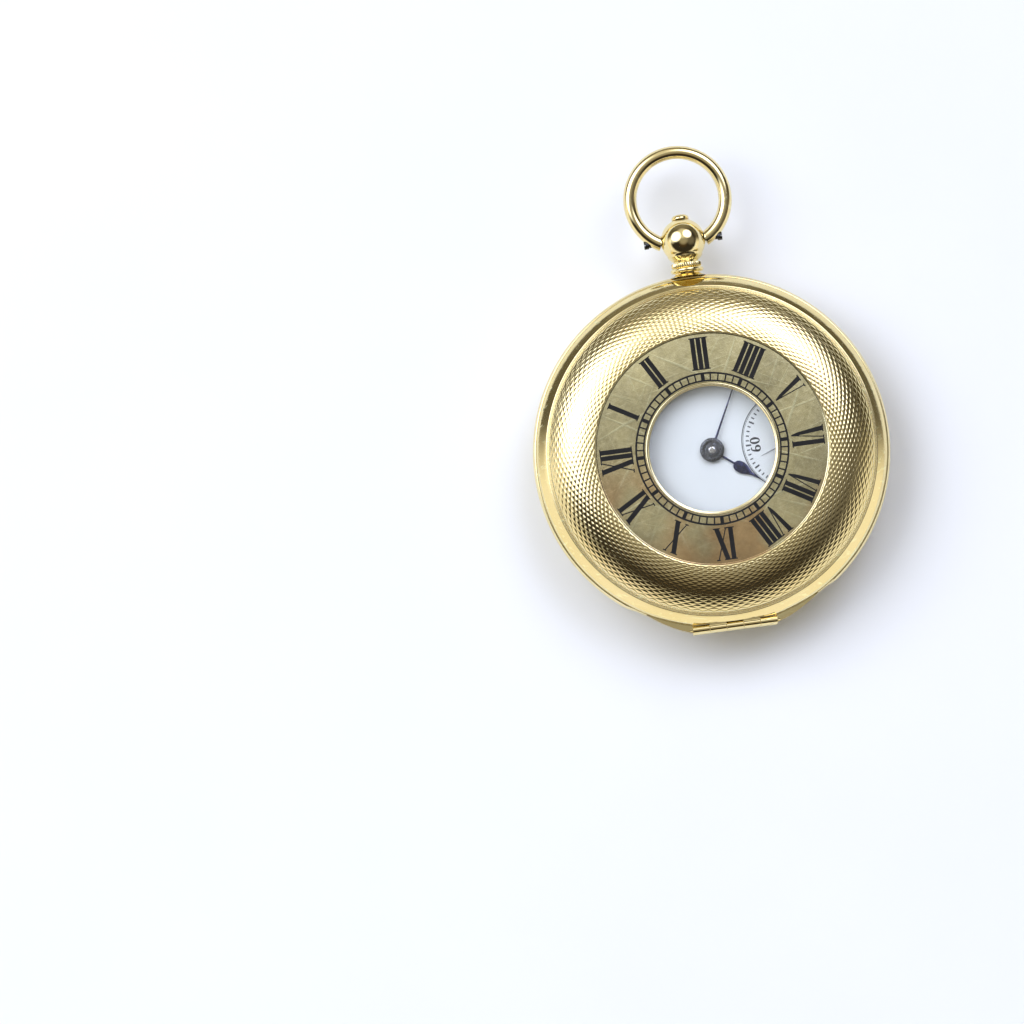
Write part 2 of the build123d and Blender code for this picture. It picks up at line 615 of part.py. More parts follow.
def balance_cock():
    """Foot on the pillar plate, arm over the balance and a short arm to the stud."""
    z0, z1 = 2.2, 2.85
    cock = rounded_bar(COCK_FOOT, 1.95, BALANCE, 1.75, z0, z1)
    cock += cyl(1.95, z1, 7.0, COCK_FOOT)
    cock -= cyl(JEWEL_R, 2, 3, BALANCE)
    cock -= cyl(0.52, 2, 7.5, COCK_FOOT)
    cock -= cyl(1.2, 2.1, z1, COCK_FOOT)
    cock += rounded_bar(polar(1.5, 205, BALANCE), 0.6, STUD, 0.5, 2.3, z1)
    return cock - cyl(0.26, 2, 3, STUD)


def hairspring_stud():
    return cyl(0.25, 2.2, 3.25, STUD)


def pallet_bridge():
    bridge = (rounded_bar(PALLET, 0.75, BRIDGE_FOOT, 1.05, 4.0, 4.38)
              + cyl(1.05, 4.38, 7.0, BRIDGE_FOOT))
    bridge -= cyl(0.4, 3.9, 4.5, PALLET)
    return bridge - cyl(0.46, 3.9, 7.5, BRIDGE_FOOT)


def pivot_jewels():
    jewels = [ring(JEWEL_R, JEWEL_HOLE_R, 7.0, 7.45, at)
              for at in (THIRD, FOURTH, ESCAPE, PALLET, BALANCE)]
    jewels += [ring(JEWEL_R, JEWEL_HOLE_R, 3.85, 4.3, at) for at in (THIRD, FOURTH, ESCAPE)]
    jewels.append(ring(0.4, JEWEL_HOLE_R, 4.03, 4.38, PALLET))
    jewels.append(ring(JEWEL_R, JEWEL_HOLE_R, 2.45, 2.85, BALANCE))
    return group(jewels)


def endstone():
    return cyl(0.5, 2.17, 2.41, BALANCE) + cyl(0.59, 1.86, 2.17, BALANCE)


def regulator():
    """Ring with a pointer towards the cock foot and a tail carrying the curb pin."""
    z0, z1 = 1.9, 2.14
    pointer_deg = heading(BALANCE, COCK_FOOT)
    pointer = [(1.0, 0.32), (5.2, 0.1), (5.9, 0.0), (5.2, -0.1), (1.0, -0.32)]
    tail = [(0.9, 0.35), (0.9, -0.35), (2.15, -0.3), (2.15, 0.3)]
    body = ring(1.25, 0.62, z0, z1, BALANCE) + placed(BALANCE, pointer_deg) * plate(pointer, z0, z1)
    body += placed(BALANCE, pointer_deg + 180) * plate(tail, z0, z1)
    body += cyl(0.08, 2.1, 3.0, polar(1.95, pointer_deg + 180, BALANCE))
    return body - cyl(0.62, 1, 3, BALANCE)


# ================= winding work
SQUARE_DEG = 20                 # how the square of the barrel arbor is turned


def barrel_arbor():
    # (radius, z bottom, z top)
    steps = [(0.63, 6.86, 8.1), (1.5, 5.25, 6.33), (0.95, 4.4, 5.25), (0.95, 6.33, 6.86),
             (0.83, 3.15, 4.4)]
    arbor = joined([cyl(radius, z0, z1, BARREL) for radius, z0, z1 in steps])
    return arbor + placed(BARREL, SQUARE_DEG) * box(-0.55, 0.55, -0.55, 0.55, 1.75, 3.2)


def ratchet_wheel():
    teeth = 36
    points = []
    for i in range(teeth):
        deg = 360 * i / teeth
        points += [polar(3.3, deg, BARREL), polar(2.95, deg + 1.2, BARREL)]
    square = placed(BARREL, SQUARE_DEG) * box(-0.565, 0.565, -0.565, 0.565, 1, 4)
    wheel = plate(points, 2.62, 3.08) - square
    return wheel - ring(2.5, 1.3, 2.5, 2.68, BARREL)


def click():
    """Pivoted lever whose nose stands just clear of the ratchet."""
    clear_r = 3.36
    nose = polar(clear_r, CLICK_DEG - 22, BARREL)
    lever = rounded_bar(CLICK_AT, 0.75, nose, 0.28, 2.66, 3.04) - cyl(clear_r, 2, 4, BARREL)
    return largest(lever - cyl(0.33, 2, 4, CLICK_AT))


def click_spring():
    tip = polar(5.05, CLICK_DEG - 22, BARREL)
    spring = tapered_bar(CLICK_SPRING_FOOT, 0.11, tip, 0.07, 2.7, 3.0)
    spring += cyl(0.7, 2.7, 3.2, CLICK_SPRING_FOOT)
    return spring - cyl(0.3, 2, 4, CLICK_SPRING_FOOT)


def movement_screws():
    screws = [screw(at, 2.95, 1.1, 0.55, 0.5, 5.5, 30 + 50 * i) for i, at in enumerate(PILLARS)]
    screws += [
        screw(COCK_FOOT, 2.3, 1.15, 0.53, 0.48, 7.65, 35),
        screw(BRIDGE_FOOT, 3.7, 0.8, 0.3, 0.42, 7.65, 80),
        screw(CLICK_AT, 2.36, 0.72, 0.28, 0.3, 3.88, 10, 0.16),
        screw(CLICK_SPRING_FOOT, 2.42, 0.62, 0.26, 0.28, 3.2, 70, 0.16)]
    return group(screws)


# ================= going train
def barrel():
    drum = gear(BARREL_TEETH, BARREL_MODULE, 6.25, 6.75, BARREL, CENTRE, 1.0, 1.2)
    drum += cyl(6.72, 5.05, 6.3, BARREL)
    drum -= cyl(6.35, 4.05, 6.4, BARREL)
    return drum - cyl(0.98, 6, 7, BARREL)


def barrel_cover():
    return cyl(6.34, 5.02, 5.2, BARREL) - cyl(0.98, 4, 6, BARREL)


def mainspring():
    return spiral(BARREL, 1.75, 6.1, 9, 0.16, 5.28, 6.32, 18)


def centre_arbor():
    arbor = gear(CENTRE_LEAVES, BARREL_MODULE, 6.0, 6.85, CENTRE, BARREL, 0.7, 1.3, gap=True)
    arbor += cyl(0.58, 3.2, 8.2) + cyl(0.44, 8.2, 10.72) + cyl(0.4, 2.6, 3.25)
    return arbor + Rot(0, 0, 33) * box(-0.45, 0.45, -0.45, 0.45, 1.75, 2.7)


def centre_wheel():
    return crossed_wheel(CENTRE_TEETH, CENTRE_MODULE, 4.5, 4.75, CENTRE, THIRD, 0.585, 1.3, 0.45)


def pinion_arbor(at, leaves, module, mate, z0, z1, radius=0.3):
    body = gear(leaves, module, z0, z1, at, mate, 0.7, 1.3, gap=True)
    return (body + cyl(radius, PIVOT_BOTTOM + 0.5, PIVOT_TOP - 0.5, at)
            + cyl(PIVOT_R, PIVOT_BOTTOM, PIVOT_TOP, at))


def third_pinion():
    return pinion_arbor(THIRD, THIRD_LEAVES, CENTRE_MODULE, CENTRE, 4.42, 5.2)


def third_wheel():
    return crossed_wheel(THIRD_TEETH, THIRD_MODULE, 5.3, 5.5, THIRD, FOURTH, 0.305, 1.0, 0.4)


def fourth_pinion():
    body = pinion_arbor(FOURTH, FOURTH_LEAVES, THIRD_MODULE, THIRD, 5.05, 5.75)
    return body + cyl(0.12, 7.3, 9.99, FOURTH)      # pivot that carries the seconds hand


def fourth_wheel():
    return crossed_wheel(FOURTH_TEETH, FOURTH_MODULE, 6.2, 6.4, FOURTH, ESCAPE, 0.305, 1.0, 0.4)


def escape_pinion():
    return pinion_arbor(ESCAPE, ESCAPE_LEAVES, FOURTH_MODULE, FOURTH, 5.95, 6.7, radius=0.26)


def escape_wheel():
    """Fifteen pointed teeth leaning forward, and four arms."""
    root_r = 2.35
    points = []
    for i in range(15):
        deg = 24.0 * i
        points += [polar(root_r, deg - 3, ESCAPE), polar(ESCAPE_R, deg + 6.0, ESCAPE),
                   polar(ESCAPE_R - 0.03, deg + 8.0, ESCAPE), polar(root_r, deg + 4.5, ESCAPE)]
    wheel = plate(points, 4.55, 4.72) - cyl(0.265, 4, 6, ESCAPE)
    window = ring(2.0, 0.75, 4, 5, ESCAPE)
    for k in range(4):
        window -= placed(ESCAPE, 90 * k) * box(0, 3, -0.18, 0.18, 4, 5)
    return wheel - window


# ---- pallets, in a frame at the pallet arbor with +x towards the balance
PALLET_FRAME = placed(PALLET, ESCAPE_LINE)
STONE_X = -PALLET_DIST + ESCAPE_R * math.cos(math.radians(30))
STONE_Y = ESCAPE_R * math.sin(math.radians(30))
STONE_GAP = 0.2


def stone_block(side, x_end, z0, z1):
    return Pos(STONE_X, side * STONE_Y, 0) * Rot(0, 0, -150 * side) * box(
        -0.75, x_end, -0.12, 0.12, z0, z1)


def pallet_fork():
    z0, z1 = 4.55, 4.75
    fork = plate([
        (0.0, 0.28), (2.9, 0.14), (3.15, 0.42), (3.7, 0.42), (3.7, 0.17), (3.3, 0.17),
        (3.3, -0.17), (3.7, -0.17), (3.7, -0.42), (3.15, -0.42), (2.9, -0.14), (0.0, -0.28)],
        z0, z1)
    fork += cyl(0.5, z0, z1)
    for side in (1, -1):
        arm = [(0.25, -0.3 * side), (-0.25, 0.3 * side),
               (STONE_X - 0.05, side * (STONE_Y + 0.42)), (STONE_X + 0.42, side * (STONE_Y + 0.22))]
        fork += plate(arm[::side], z0, z1)
    fork -= cyl(0.245, 4, 5)
    for side in (1, -1):
        fork -= stone_block(side, -STONE_GAP + 0.001, 4.5, 4.8)
    return PALLET_FRAME * largest(fork)


def pallet_stones():
    return group([PALLET_FRAME * stone_block(side, -STONE_GAP, 4.53, 4.77) for side in (1, -1)])


def pallet_arbor():
    return cyl(0.24, 4.42, 6.9, PALLET) + cyl(PIVOT_R, 4.05, PIVOT_TOP, PALLET)


# ---- balance
BALANCE_R, BALANCE_DEG = 5.95, 25       # rim radius, direction of the arm


def balance_wheel():
    wheel = ring(BALANCE_R, 5.3, 3.45, 3.88, BALANCE) + ring(1.0, 0.36, 3.45, 3.88, BALANCE)
    arm = box(-5.5, 5.5, -0.42, 0.42, 3.5, 3.83) - cyl(0.9, 3, 4)
    return wheel + placed(BALANCE, BALANCE_DEG) * arm


def balance_screws():
    """Seven screws on each half of the rim."""
    z, x_end = 3.665, 6.5
    screws = []
    for k in range(14):
        frame = placed(BALANCE, BALANCE_DEG + 12 + (k // 7) * 180 + (k % 7) * 26)
        body = frame * xcyl(0.26, BALANCE_R, x_end, 0, z)
        screws.append(body - frame * (Pos(x_end, 0, z) * Box(0.2, 0.1, 1.0)))
    return group(screws)


def balance_staff():
    return (cyl(0.35, 3.3, 6.9, BALANCE) + cyl(0.68, 2.95, 3.3, BALANCE)
            + cyl(PIVOT_R, 2.42, PIVOT_TOP, BALANCE))


def roller_table():
    return ring(1.1, 0.355, 4.05, 4.3, BALANCE)


def impulse_jewel():
    return cyl(0.14, 4.3, 4.78, polar(0.75, ESCAPE_LINE + 180, BALANCE))


def hairspring():
    return spiral(BALANCE, 0.85, 3.45, 9, 0.07, 3.02, 3.22, 20, start=205.0)


# ================= motion work under the dial
def cannon_pinion():
    body = (gear(CANNON_LEAVES, MOTION_MODULE, 8.25, 8.52, CENTRE, MINUTE, 0.8, 1.2)
            + cyl(0.74, 8.52, 10.3) + cyl(0.54, 10.3, 10.62))
    return body - cyl(0.445, 8, 11)


def minute_wheel():
    body = gear(MINUTE_TEETH, MOTION_MODULE, 8.28, 8.46, MINUTE, CENTRE, 0.9, 1.2, gap=True)
    body += gear(MINUTE_LEAVES, HOUR_MODULE, 8.46, 8.92, MINUTE, CENTRE, 0.8, 1.2)
    return body + cyl(0.25, 7.65, 8.3, MINUTE)


def hour_wheel():
    body = (gear(HOUR_TEETH, HOUR_MODULE, 8.62, 8.82, CENTRE, MINUTE, 0.9, 1.2, gap=True)
            + cyl(1.03, 8.8, 10.13))
    return body - cyl(0.77, 8, 11)


# ================= export; each file takes the name of its function
PIECES = [
    case_middle, hinge_pins, pendant, bow, bow_screws, push_piece, lock_spring, fly_spring,
    case_spring_screws, front_cover, aperture_bezel, aperture_glass, chapter_enamel, back_cover,
    inner_cover, glass_bezel, main_crystal, dial, hour_hand, minute_hand, seconds_hand,
    pillar_plate, pillars, top_plate, case_screws, balance_cock, hairspring_stud, pallet_bridge,
    pivot_jewels, endstone, regulator, barrel_arbor, ratchet_wheel, click, click_spring,
    movement_screws, barrel, barrel_cover, mainspring, centre_arbor, centre_wheel, third_pinion,
    third_wheel, fourth_pinion, fourth_wheel, escape_pinion, escape_wheel, pallet_fork,
    pallet_stones, pallet_arbor, balance_wheel, balance_screws, balance_staff, roller_table,
    impulse_jewel, hairspring, cannon_pinion, minute_wheel, hour_wheel]

os.makedirs("parts", exist_ok=True)
for piece in PIECES:
    solids = (Pos(0, 0, LIFT) * piece()).solids()
    shape = Compound(children=list(solids)) if len(solids) > 1 else solids[0]
    export_step(shape, f"parts/{piece.__name__}.step")
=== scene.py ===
# A closed pocket watch lying on a table, front cover up, with a window in that cover.
# The watch's axis is Z. The pendant and bow are towards +Y, the covers' hinge towards -Y,
# XII towards -X and VI towards +X. Shapes are written in millimetres on the movement's own
# levels; make() raises them by LIFT and turns them into metres.
import math

import bmesh
import bpy
import numpy as np
from mathutils import Matrix, Vector


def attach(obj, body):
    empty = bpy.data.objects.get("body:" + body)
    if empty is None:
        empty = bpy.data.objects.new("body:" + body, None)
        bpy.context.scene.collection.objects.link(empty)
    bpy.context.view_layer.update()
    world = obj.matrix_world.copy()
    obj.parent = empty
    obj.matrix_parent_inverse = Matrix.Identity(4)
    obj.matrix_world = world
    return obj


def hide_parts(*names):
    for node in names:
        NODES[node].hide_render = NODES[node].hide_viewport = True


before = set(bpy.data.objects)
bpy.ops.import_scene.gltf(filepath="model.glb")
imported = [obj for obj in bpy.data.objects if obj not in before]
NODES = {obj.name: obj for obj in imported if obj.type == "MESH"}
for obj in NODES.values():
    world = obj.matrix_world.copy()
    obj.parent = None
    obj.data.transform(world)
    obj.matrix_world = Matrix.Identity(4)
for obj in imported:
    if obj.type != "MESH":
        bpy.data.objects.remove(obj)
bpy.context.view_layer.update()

MM = 0.001
LIFT = 0.5                            # from the movement's levels to the frame's
MID_Z = 7.1                           # middle of the case, and the pendant's axis
FIELD_IN, FIELD_OUT = 16.5, 22.85     # radii of the front cover's engine-turned field
SHEET = 0.42                          # thickness of the covers' fields
DISC_Z = 12.70                        # top of the front cover's flat disc
RIM_FOOT_Z = 8.33                     # underside of the front cover's rim
HINGE_Y, HINGE_Z = -24.75, 8.30       # the front cover's hinge axis
FLAT_Y, FLAT_HALF = -24.06, 6.1       # the flat cut in both rims for the hinge
FLAT_Z = 8.96                         # top of the flat in the front rim
BALL_Y, BALL_R = 30.2, 3.15           # the pendant's ball
PRINT_Z0, PRINT_Z1 = 9.745, 9.765     # bottom and top of the dial's printing
SECONDS, SECONDS_R = (11.4, 0.0), 7.18   # the seconds sub-dial's centre and radius


# ------------------------------------------------------------------ shader helpers
def wire(tree, target, inputs):
    """Gives each input a value, or a link if the value is another node's socket."""
    for key, value in inputs.items():
        if isinstance(value, bpy.types.NodeSocket):
            tree.links.new(value, target.inputs[key])
        else:
            target.inputs[key].default_value = value


def node(tree, kind, inputs=None, **settings):
    made = tree.nodes.new("ShaderNode" + kind)
    for key, value in settings.items():
        setattr(made, key, value)
    wire(tree, made, inputs or {})
    return made


def new_material(name):
    material = bpy.data.materials.new(name)
    material.use_nodes = True
    tree = material.node_tree
    tree.nodes.clear()
    output = node(tree, "OutputMaterial")
    shader = node(tree, "BsdfPrincipled")
    tree.links.new(shader.outputs[0], output.inputs[0])
    return material, tree, shader, output


def coords(tree, scale=(1, 1, 1), turn=(0, 0, 0)):
    """Object coordinates, turned and then scaled."""
    place = node(tree, "TexCoord").outputs["Object"]
    turned = node(tree, "Mapping", {"Vector": place, "Rotation": turn}).outputs[0]
    return node(tree, "Mapping", {"Vector": turned, "Scale": scale}).outputs[0]


def noise(tree, vector, scale, detail=3.0, rough=0.5):
    return node(tree, "TexNoise", {"Vector": vector, "Scale": scale, "Detail": detail,
                                   "Roughness": rough}).outputs[0]


def ramp(tree, factor, stops):
    """A colour ramp over (position, rgb) stops."""
    made = node(tree, "ValToRGB", {0: factor})
    elements = made.color_ramp.elements
    while len(elements) < len(stops):
        elements.new(0.5)
    for element, (position, colour) in zip(elements, stops):
        element.position = position
        element.color = (*colour, 1)
    return made.outputs[0]


def remap(tree, value, source, target=(0.0, 1.0), **settings):
    return node(tree, "MapRange", {
        "Value": value, "From Min": source[0], "From Max": source[1],
        "To Min": target[0], "To Max": target[1]}, **settings).outputs[0]


def calc(tree, operation, first, second):
    return node(tree, "Math", {0: first, 1: second}, operation=operation).outputs[0]


def mix_colour(tree, factor, first, second, blend="MIX"):
    return node(tree, "Mix", {0: factor, 6: first, 7: second},
                data_type="RGBA", blend_type=blend).outputs[2]


def mix_shader(tree, factor, first, second, output):
    mixed = node(tree, "MixShader", {0: factor, 1: first.outputs[0], 2: second.outputs[0]})
    tree.links.new(mixed.outputs[0], output.inputs[0])


# ------------------------------------------------------------------ materials
NOISE_SPAN = (0.3, 0.7)     # the part of a noise's range that is spread over a variation
SCRATCH_DENSITY = 1500.0
SCRATCH_STRETCH = 22.0      # a scratch's length over its width
SCRATCH_SPAN = (0.62, 0.74)   # only the noise's peaks show as scratches


def scratch_field(tree, count):
    """Fine straight scratches in several directions, 0..1."""
    total = None
    scale = (SCRATCH_DENSITY / SCRATCH_STRETCH, SCRATCH_DENSITY, SCRATCH_DENSITY)
    for k in range(count):
        turn = (0, 0, 0.35 + k * 2.399)   # radians, about the golden angle apart
        one = remap(tree, noise(tree, coords(tree, scale, turn), 1.0, detail=2.0), SCRATCH_SPAN)
        total = one if total is None else calc(tree, "MAXIMUM", total, one)
    return total


def add_painted_shade(tree, vector, colour, painted_shade, direction):
    """Painted shade: duller, browner patches towards one side, standing in for a darker reflection
    there; and a broad cloudiness.
    """
    place = node(tree, "TexCoord").outputs["Object"]
    along = node(tree, "VectorMath", {0: place, 1: direction}, operation="DOT_PRODUCT")
    side = remap(tree, along.outputs["Value"], source=(-0.001, 0.008))
    shade_patches = remap(tree, noise(tree, vector, 105.0, detail=2.0, rough=0.45),
                    source=(0.42, 0.56))
    amount = calc(tree, "MULTIPLY", calc(tree, "MULTIPLY", side, shade_patches), 0.85)
    shaded_colour = mix_colour(tree, amount, colour, (*painted_shade, 1))
    cloud = ramp(tree, noise(tree, vector, 170.0, detail=5.0, rough=0.65), [
        (0.30, (0.72, 0.72, 0.74)), (0.52, (0.97, 0.97, 0.97)), (0.72, (1.16, 1.15, 1.12))])
    return mix_colour(tree, 1.0, shaded_colour, cloud, blend="MULTIPLY")


def metal(name, dark, light, rough, vary, tone, grain=None, scratches=0, relief=0.0,
          painted_shade=None):
    """A metal between two tones.

    vary is the roughness's spread, tone and grain are noise scales, and relief is the bump
    strength of the scratches and grain."""
    material, tree, shader, _ = new_material(name)
    vector = coords(tree)
    colour = ramp(tree, noise(tree, vector, tone, detail=4.0, rough=0.6),
                  [(0.32, dark), (0.68, light)])
    roughness = remap(tree, noise(tree, vector, tone * 2.3), NOISE_SPAN,
                      (rough - vary, rough + vary))
    height = None
    if scratches:
        height = scratch_field(tree, scratches)
        # painted highlight: the scratches are coloured lighter and bluer than the metal
        glint = [min(1, c * k) for c, k in zip(light, (1.35, 1.35, 1.5))]
        colour = mix_colour(tree, calc(tree, "MULTIPLY", height, 0.45), colour, (*glint, 1))
    # painted shade, when given: a browner colour in patches towards one side
    if painted_shade:
        colour = add_painted_shade(tree, vector, colour, **painted_shade)
    if grain:
        grains = noise(tree, coords(tree), grain, detail=2.0, rough=0.6)
        height = grains if height is None else calc(tree, "ADD", height, grains)
    if height is not None:
        bump = node(tree, "Bump", {"Strength": relief, "Distance": 0.00004, "Height": height})
        wire(tree, shader, {"Normal": bump.outputs[0]})
    wire(tree, shader, {"Metallic": 1.0, "Base Color": colour, "Roughness": roughness})
    return material


def enamel(name, dark, light, rough, coat, specular=0.5):
    material, tree, shader, _ = new_material(name)
    vector = coords(tree)
    wire(tree, shader, {
        "Base Color": ramp(tree, noise(tree, vector, 260.0, detail=4.0, rough=0.6),
                           [(0.3, dark), (0.7, light)]),
        "Roughness": remap(tree, noise(tree, vector, 600.0, detail=2.0), NOISE_SPAN,
                           (rough - 0.03, rough + 0.05)),
        "Coat Weight": coat,
        "Coat Roughness": 0.04,
        "Specular IOR Level": specular})
    return material


def watch_glass():
    """Clear glass that lets shadow and diffuse rays straight through."""
    material, tree, shader, output = new_material("watch_glass")
    wire(tree, shader, {
        "Base Color": (0.985, 0.99, 0.99, 1),
        "Transmission Weight": 1.0,
        "IOR": 1.45,
        "Roughness": remap(tree, noise(tree, coords(tree), 300.0, detail=2.0), NOISE_SPAN,
                           (0.0, 0.012))})
    clear = node(tree, "BsdfTransparent", {0: (0.97, 0.98, 0.98, 1)})
    ray = node(tree, "LightPath").outputs
    either = calc(tree, "MAXIMUM", ray["Is Shadow Ray"], ray["Is Diffuse Ray"])
    mix_shader(tree, either, shader, clear, output)
    return material


GOLD = metal("gold_polished", dark=(0.87, 0.715, 0.345), light=(0.91, 0.765, 0.41),
             rough=0.09, vary=0.03, tone=90.0, scratches=2, relief=0.10)
GOLD_FIELD = metal("gold_engine_turned", dark=(0.85, 0.70, 0.34), light=(0.90, 0.76, 0.41),
                   rough=0.12, vary=0.025, tone=120.0)
# The satin disc gets painted shade: browner, duller patches on its side towards the view's bottom.
GOLD_DISC = metal("gold_satin", dark=(0.72, 0.65, 0.37), light=(0.82, 0.745, 0.45),
                  rough=0.19, vary=0.045, tone=900.0, grain=2600.0, scratches=7, relief=0.13,
                  painted_shade=dict(painted_shade=(0.70, 0.47, 0.24), direction=(-0.132, -0.991, 0)))
GOLD_PALE = metal("gold_bead", dark=(0.90, 0.78, 0.45), light=(0.94, 0.83, 0.52),
                  rough=0.07, vary=0.02, tone=120.0)
GOLD_INNER = metal("gold_inner", dark=(0.82, 0.66, 0.30), light=(0.88, 0.73, 0.38),
                   rough=0.20, vary=0.05, tone=120.0, scratches=3, relief=0.15)
GILT = metal("gilt_frosted", dark=(0.72, 0.54, 0.24), light=(0.82, 0.64, 0.33),
             rough=0.36, vary=0.06, tone=300.0, grain=5200.0, relief=0.35)
GILT_WHEEL = metal("gilt_brushed", dark=(0.76, 0.57, 0.26), light=(0.86, 0.68, 0.36),
                   rough=0.24, vary=0.05, tone=300.0, scratches=2, relief=0.12)
STEEL = metal("steel_polished", dark=(0.46, 0.46, 0.47), light=(0.58, 0.58, 0.59),
              rough=0.18, vary=0.05, tone=260.0, scratches=2, relief=0.12)
STEEL_DARK = metal("steel_dark", dark=(0.055, 0.058, 0.068), light=(0.10, 0.104, 0.118),
                   rough=0.27, vary=0.05, tone=900.0, scratches=2, relief=0.05)
STEEL_BRIGHT = metal("steel_bright", dark=(0.66, 0.66, 0.68), light=(0.78, 0.78, 0.80),
                     rough=0.12, vary=0.04, tone=420.0, scratches=1, relief=0.1)
BLUED = metal("blued_steel", dark=(0.014, 0.016, 0.045), light=(0.035, 0.04, 0.11),
              rough=0.26, vary=0.05, tone=500.0, scratches=1, relief=0.08)
ENAMEL_BLACK = enamel("black_enamel", dark=(0.004, 0.004, 0.004), light=(0.012, 0.011, 0.010),
                      rough=0.42, coat=0.0, specular=0.25)
ENAMEL_WHITE = enamel("white_enamel", dark=(0.87, 0.885, 0.91), light=(0.91, 0.92, 0.94),
                      rough=0.22, coat=0.4)
PRINT_BLACK = enamel("dial_print", dark=(0.012, 0.012, 0.014), light=(0.035, 0.035, 0.04),
                     rough=0.35, coat=0.1, specular=0.3)
PRINT_GREY = enamel("dial_print_fine", dark=(0.045, 0.045, 0.055), light=(0.10, 0.10, 0.115),
                    rough=0.35, coat=0.1, specular=0.3)
RUBY = enamel("ruby", dark=(0.30, 0.008, 0.03), light=(0.48, 0.02, 0.06), rough=0.08, coat=1.0)
GLASS = watch_glass()


# ------------------------------------------------------------------ mesh helpers
# A shape is a pair (vertices, faces), its vertices in millimetres.
def add_object(name, data):
    made = bpy.data.objects.new(name, data)
    bpy.context.scene.collection.objects.link(made)
    return made


def make(name, shape, material, body, cad, angle=35, merge=True):
    """The object of a shape, riding a body; edges sharper than angle stay sharp."""
    verts = np.asarray(shape[0], float).reshape(-1, 3).copy()
    verts[:, 2] += LIFT
    verts *= MM
    mesh = bpy.data.meshes.new(name)
    mesh.from_pydata(verts.tolist(), [], [list(map(int, face)) for face in shape[1]])
    mesh.update()
    bm = bmesh.new()
    bm.from_mesh(mesh)
    if merge:
        bmesh.ops.remove_doubles(bm, verts=bm.verts, dist=2e-7)
        bmesh.ops.dissolve_degenerate(bm, edges=bm.edges, dist=1e-8)
    bmesh.ops.recalc_face_normals(bm, faces=bm.faces)
    bm.to_mesh(mesh)
    bm.free()
    mesh.polygons.foreach_set("use_smooth", [True] * len(mesh.polygons))
    mesh.set_sharp_from_angle(angle=math.radians(angle))
    mesh.update()
    made = add_object(name, mesh)
    mesh.materials.append(material)
    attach(made, body)
    if cad:
        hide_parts(cad)


def grid_faces(rows, columns, closed):
    """Quads over rows of points; each row is a loop, and closed joins the last to the first."""
    row = np.arange(rows if closed else rows - 1)[:, None] * columns
    after = (row + columns) % (rows * columns)
    here = np.arange(columns)
    beside = (here + 1) % columns
    corners = (row + here, row + beside, after + beside, after + here)
    return np.stack(np.broadcast_arrays(*corners), -1).reshape(-1, 4).tolist()


def circle_angles(count):
    return np.arange(count) * 2 * math.pi / count


def ring_points(radius, z, angle):
    parts = np.broadcast_arrays(radius * np.cos(angle), radius * np.sin(angle), z)
    return np.stack(parts, -1)


def lathe(profile, segments, closed=True, ripple=None, centre=(0, 0)):
    """Turns (radius, z) points about Z; ripple(ring, angle) changes a ring's radius."""
    angle = circle_angles(segments)
    rings = [ring_points(radius + (ripple(i, angle) if ripple else 0), z, angle)
             for i, (radius, z) in enumerate(profile)]
    verts = np.concatenate(rings) + (*centre, 0)
    return verts, grid_faces(len(profile), segments, closed)


def combine(*shapes):
    all_verts, all_faces, offset = [], [], 0
    for verts, faces in shapes:
        verts = np.asarray(verts, float).reshape(-1, 3)
        all_verts.append(verts)
        all_faces += [[i + offset for i in face] for face in faces]
        offset += len(verts)
    return np.concatenate(all_verts), all_faces


def unit(vectors):
    return vectors / np.maximum(np.linalg.norm(vectors, axis=1, keepdims=True), 1e-9)


def prism(polygon, z0, z1, bevel=0.0):
    """An upright prism over a polygon of (x, y), with an optional small top bevel."""
    points = np.asarray(polygon, float)
    x, y = points[:, 0], points[:, 1]
    if 0.5 * np.sum(x * np.roll(y, -1) - np.roll(x, -1) * y) < 0:
        points = points[::-1]
    count = len(points)
    levels = [(points, z0), (points, z1 - bevel)]
    if bevel:
        before = unit(points - np.roll(points, 1, 0))
        after = unit(np.roll(points, -1, 0) - points)
        inward = np.stack([-before[:, 1], before[:, 0]], 1)
        mitre = unit(inward + np.stack([-after[:, 1], after[:, 0]], 1))
        reach = bevel / np.clip(np.sum(mitre * inward, axis=1, keepdims=True), 0.5, 1)
        levels.append((points + mitre * reach, z1))
    verts = np.concatenate([np.column_stack([p, np.full(count, z)]) for p, z in levels])
    top = (len(levels) - 1) * count
    faces = [list(range(count))[::-1], *grid_faces(len(levels), count, False),
             list(range(top, top + count))]
    return verts, faces


def flat_ring(inner, outer, z0, z1, segments=360, centre=(0, 0)):
    profile = [(inner, z0), (outer, z0), (outer, z1), (inner, z1)]
    return lathe(profile, segments, centre=centre)


def x_tube(outer, inner, x0, x1, y, z, chamfer=0.04):
    """A tube along X with chamfered ends."""
    verts, faces = lathe([
        (inner, x0), (outer - chamfer, x0), (outer, x0 + chamfer),
        (outer, x1 - chamfer), (outer - chamfer, x1), (inner, x1)], 40)
    return np.column_stack([verts[:, 2], y + verts[:, 0], z + verts[:, 1]]), faces


def x_bar(x0, x1, y0, y1, z0, z1, chamfer=0.06):
    """A box whose edges along X are chamfered."""
    c = chamfer
    section = [(y0 + c, z0), (y1 - c, z0), (y1, z0 + c), (y1, z1 - c),
               (y1 - c, z1), (y0 + c, z1), (y0, z1 - c), (y0, z0 + c)]
    count = len(section)
    verts = [(x, y, z) for x in (x0, x1) for y, z in section]
    faces = [list(range(count))[::-1], list(range(count, 2 * count))]
    return verts, faces + grid_faces(2, count, False)


# ------------------------------------------------------------------ engine turning
WAVE = 0.46   # a groove's swing over the grooves' pitch


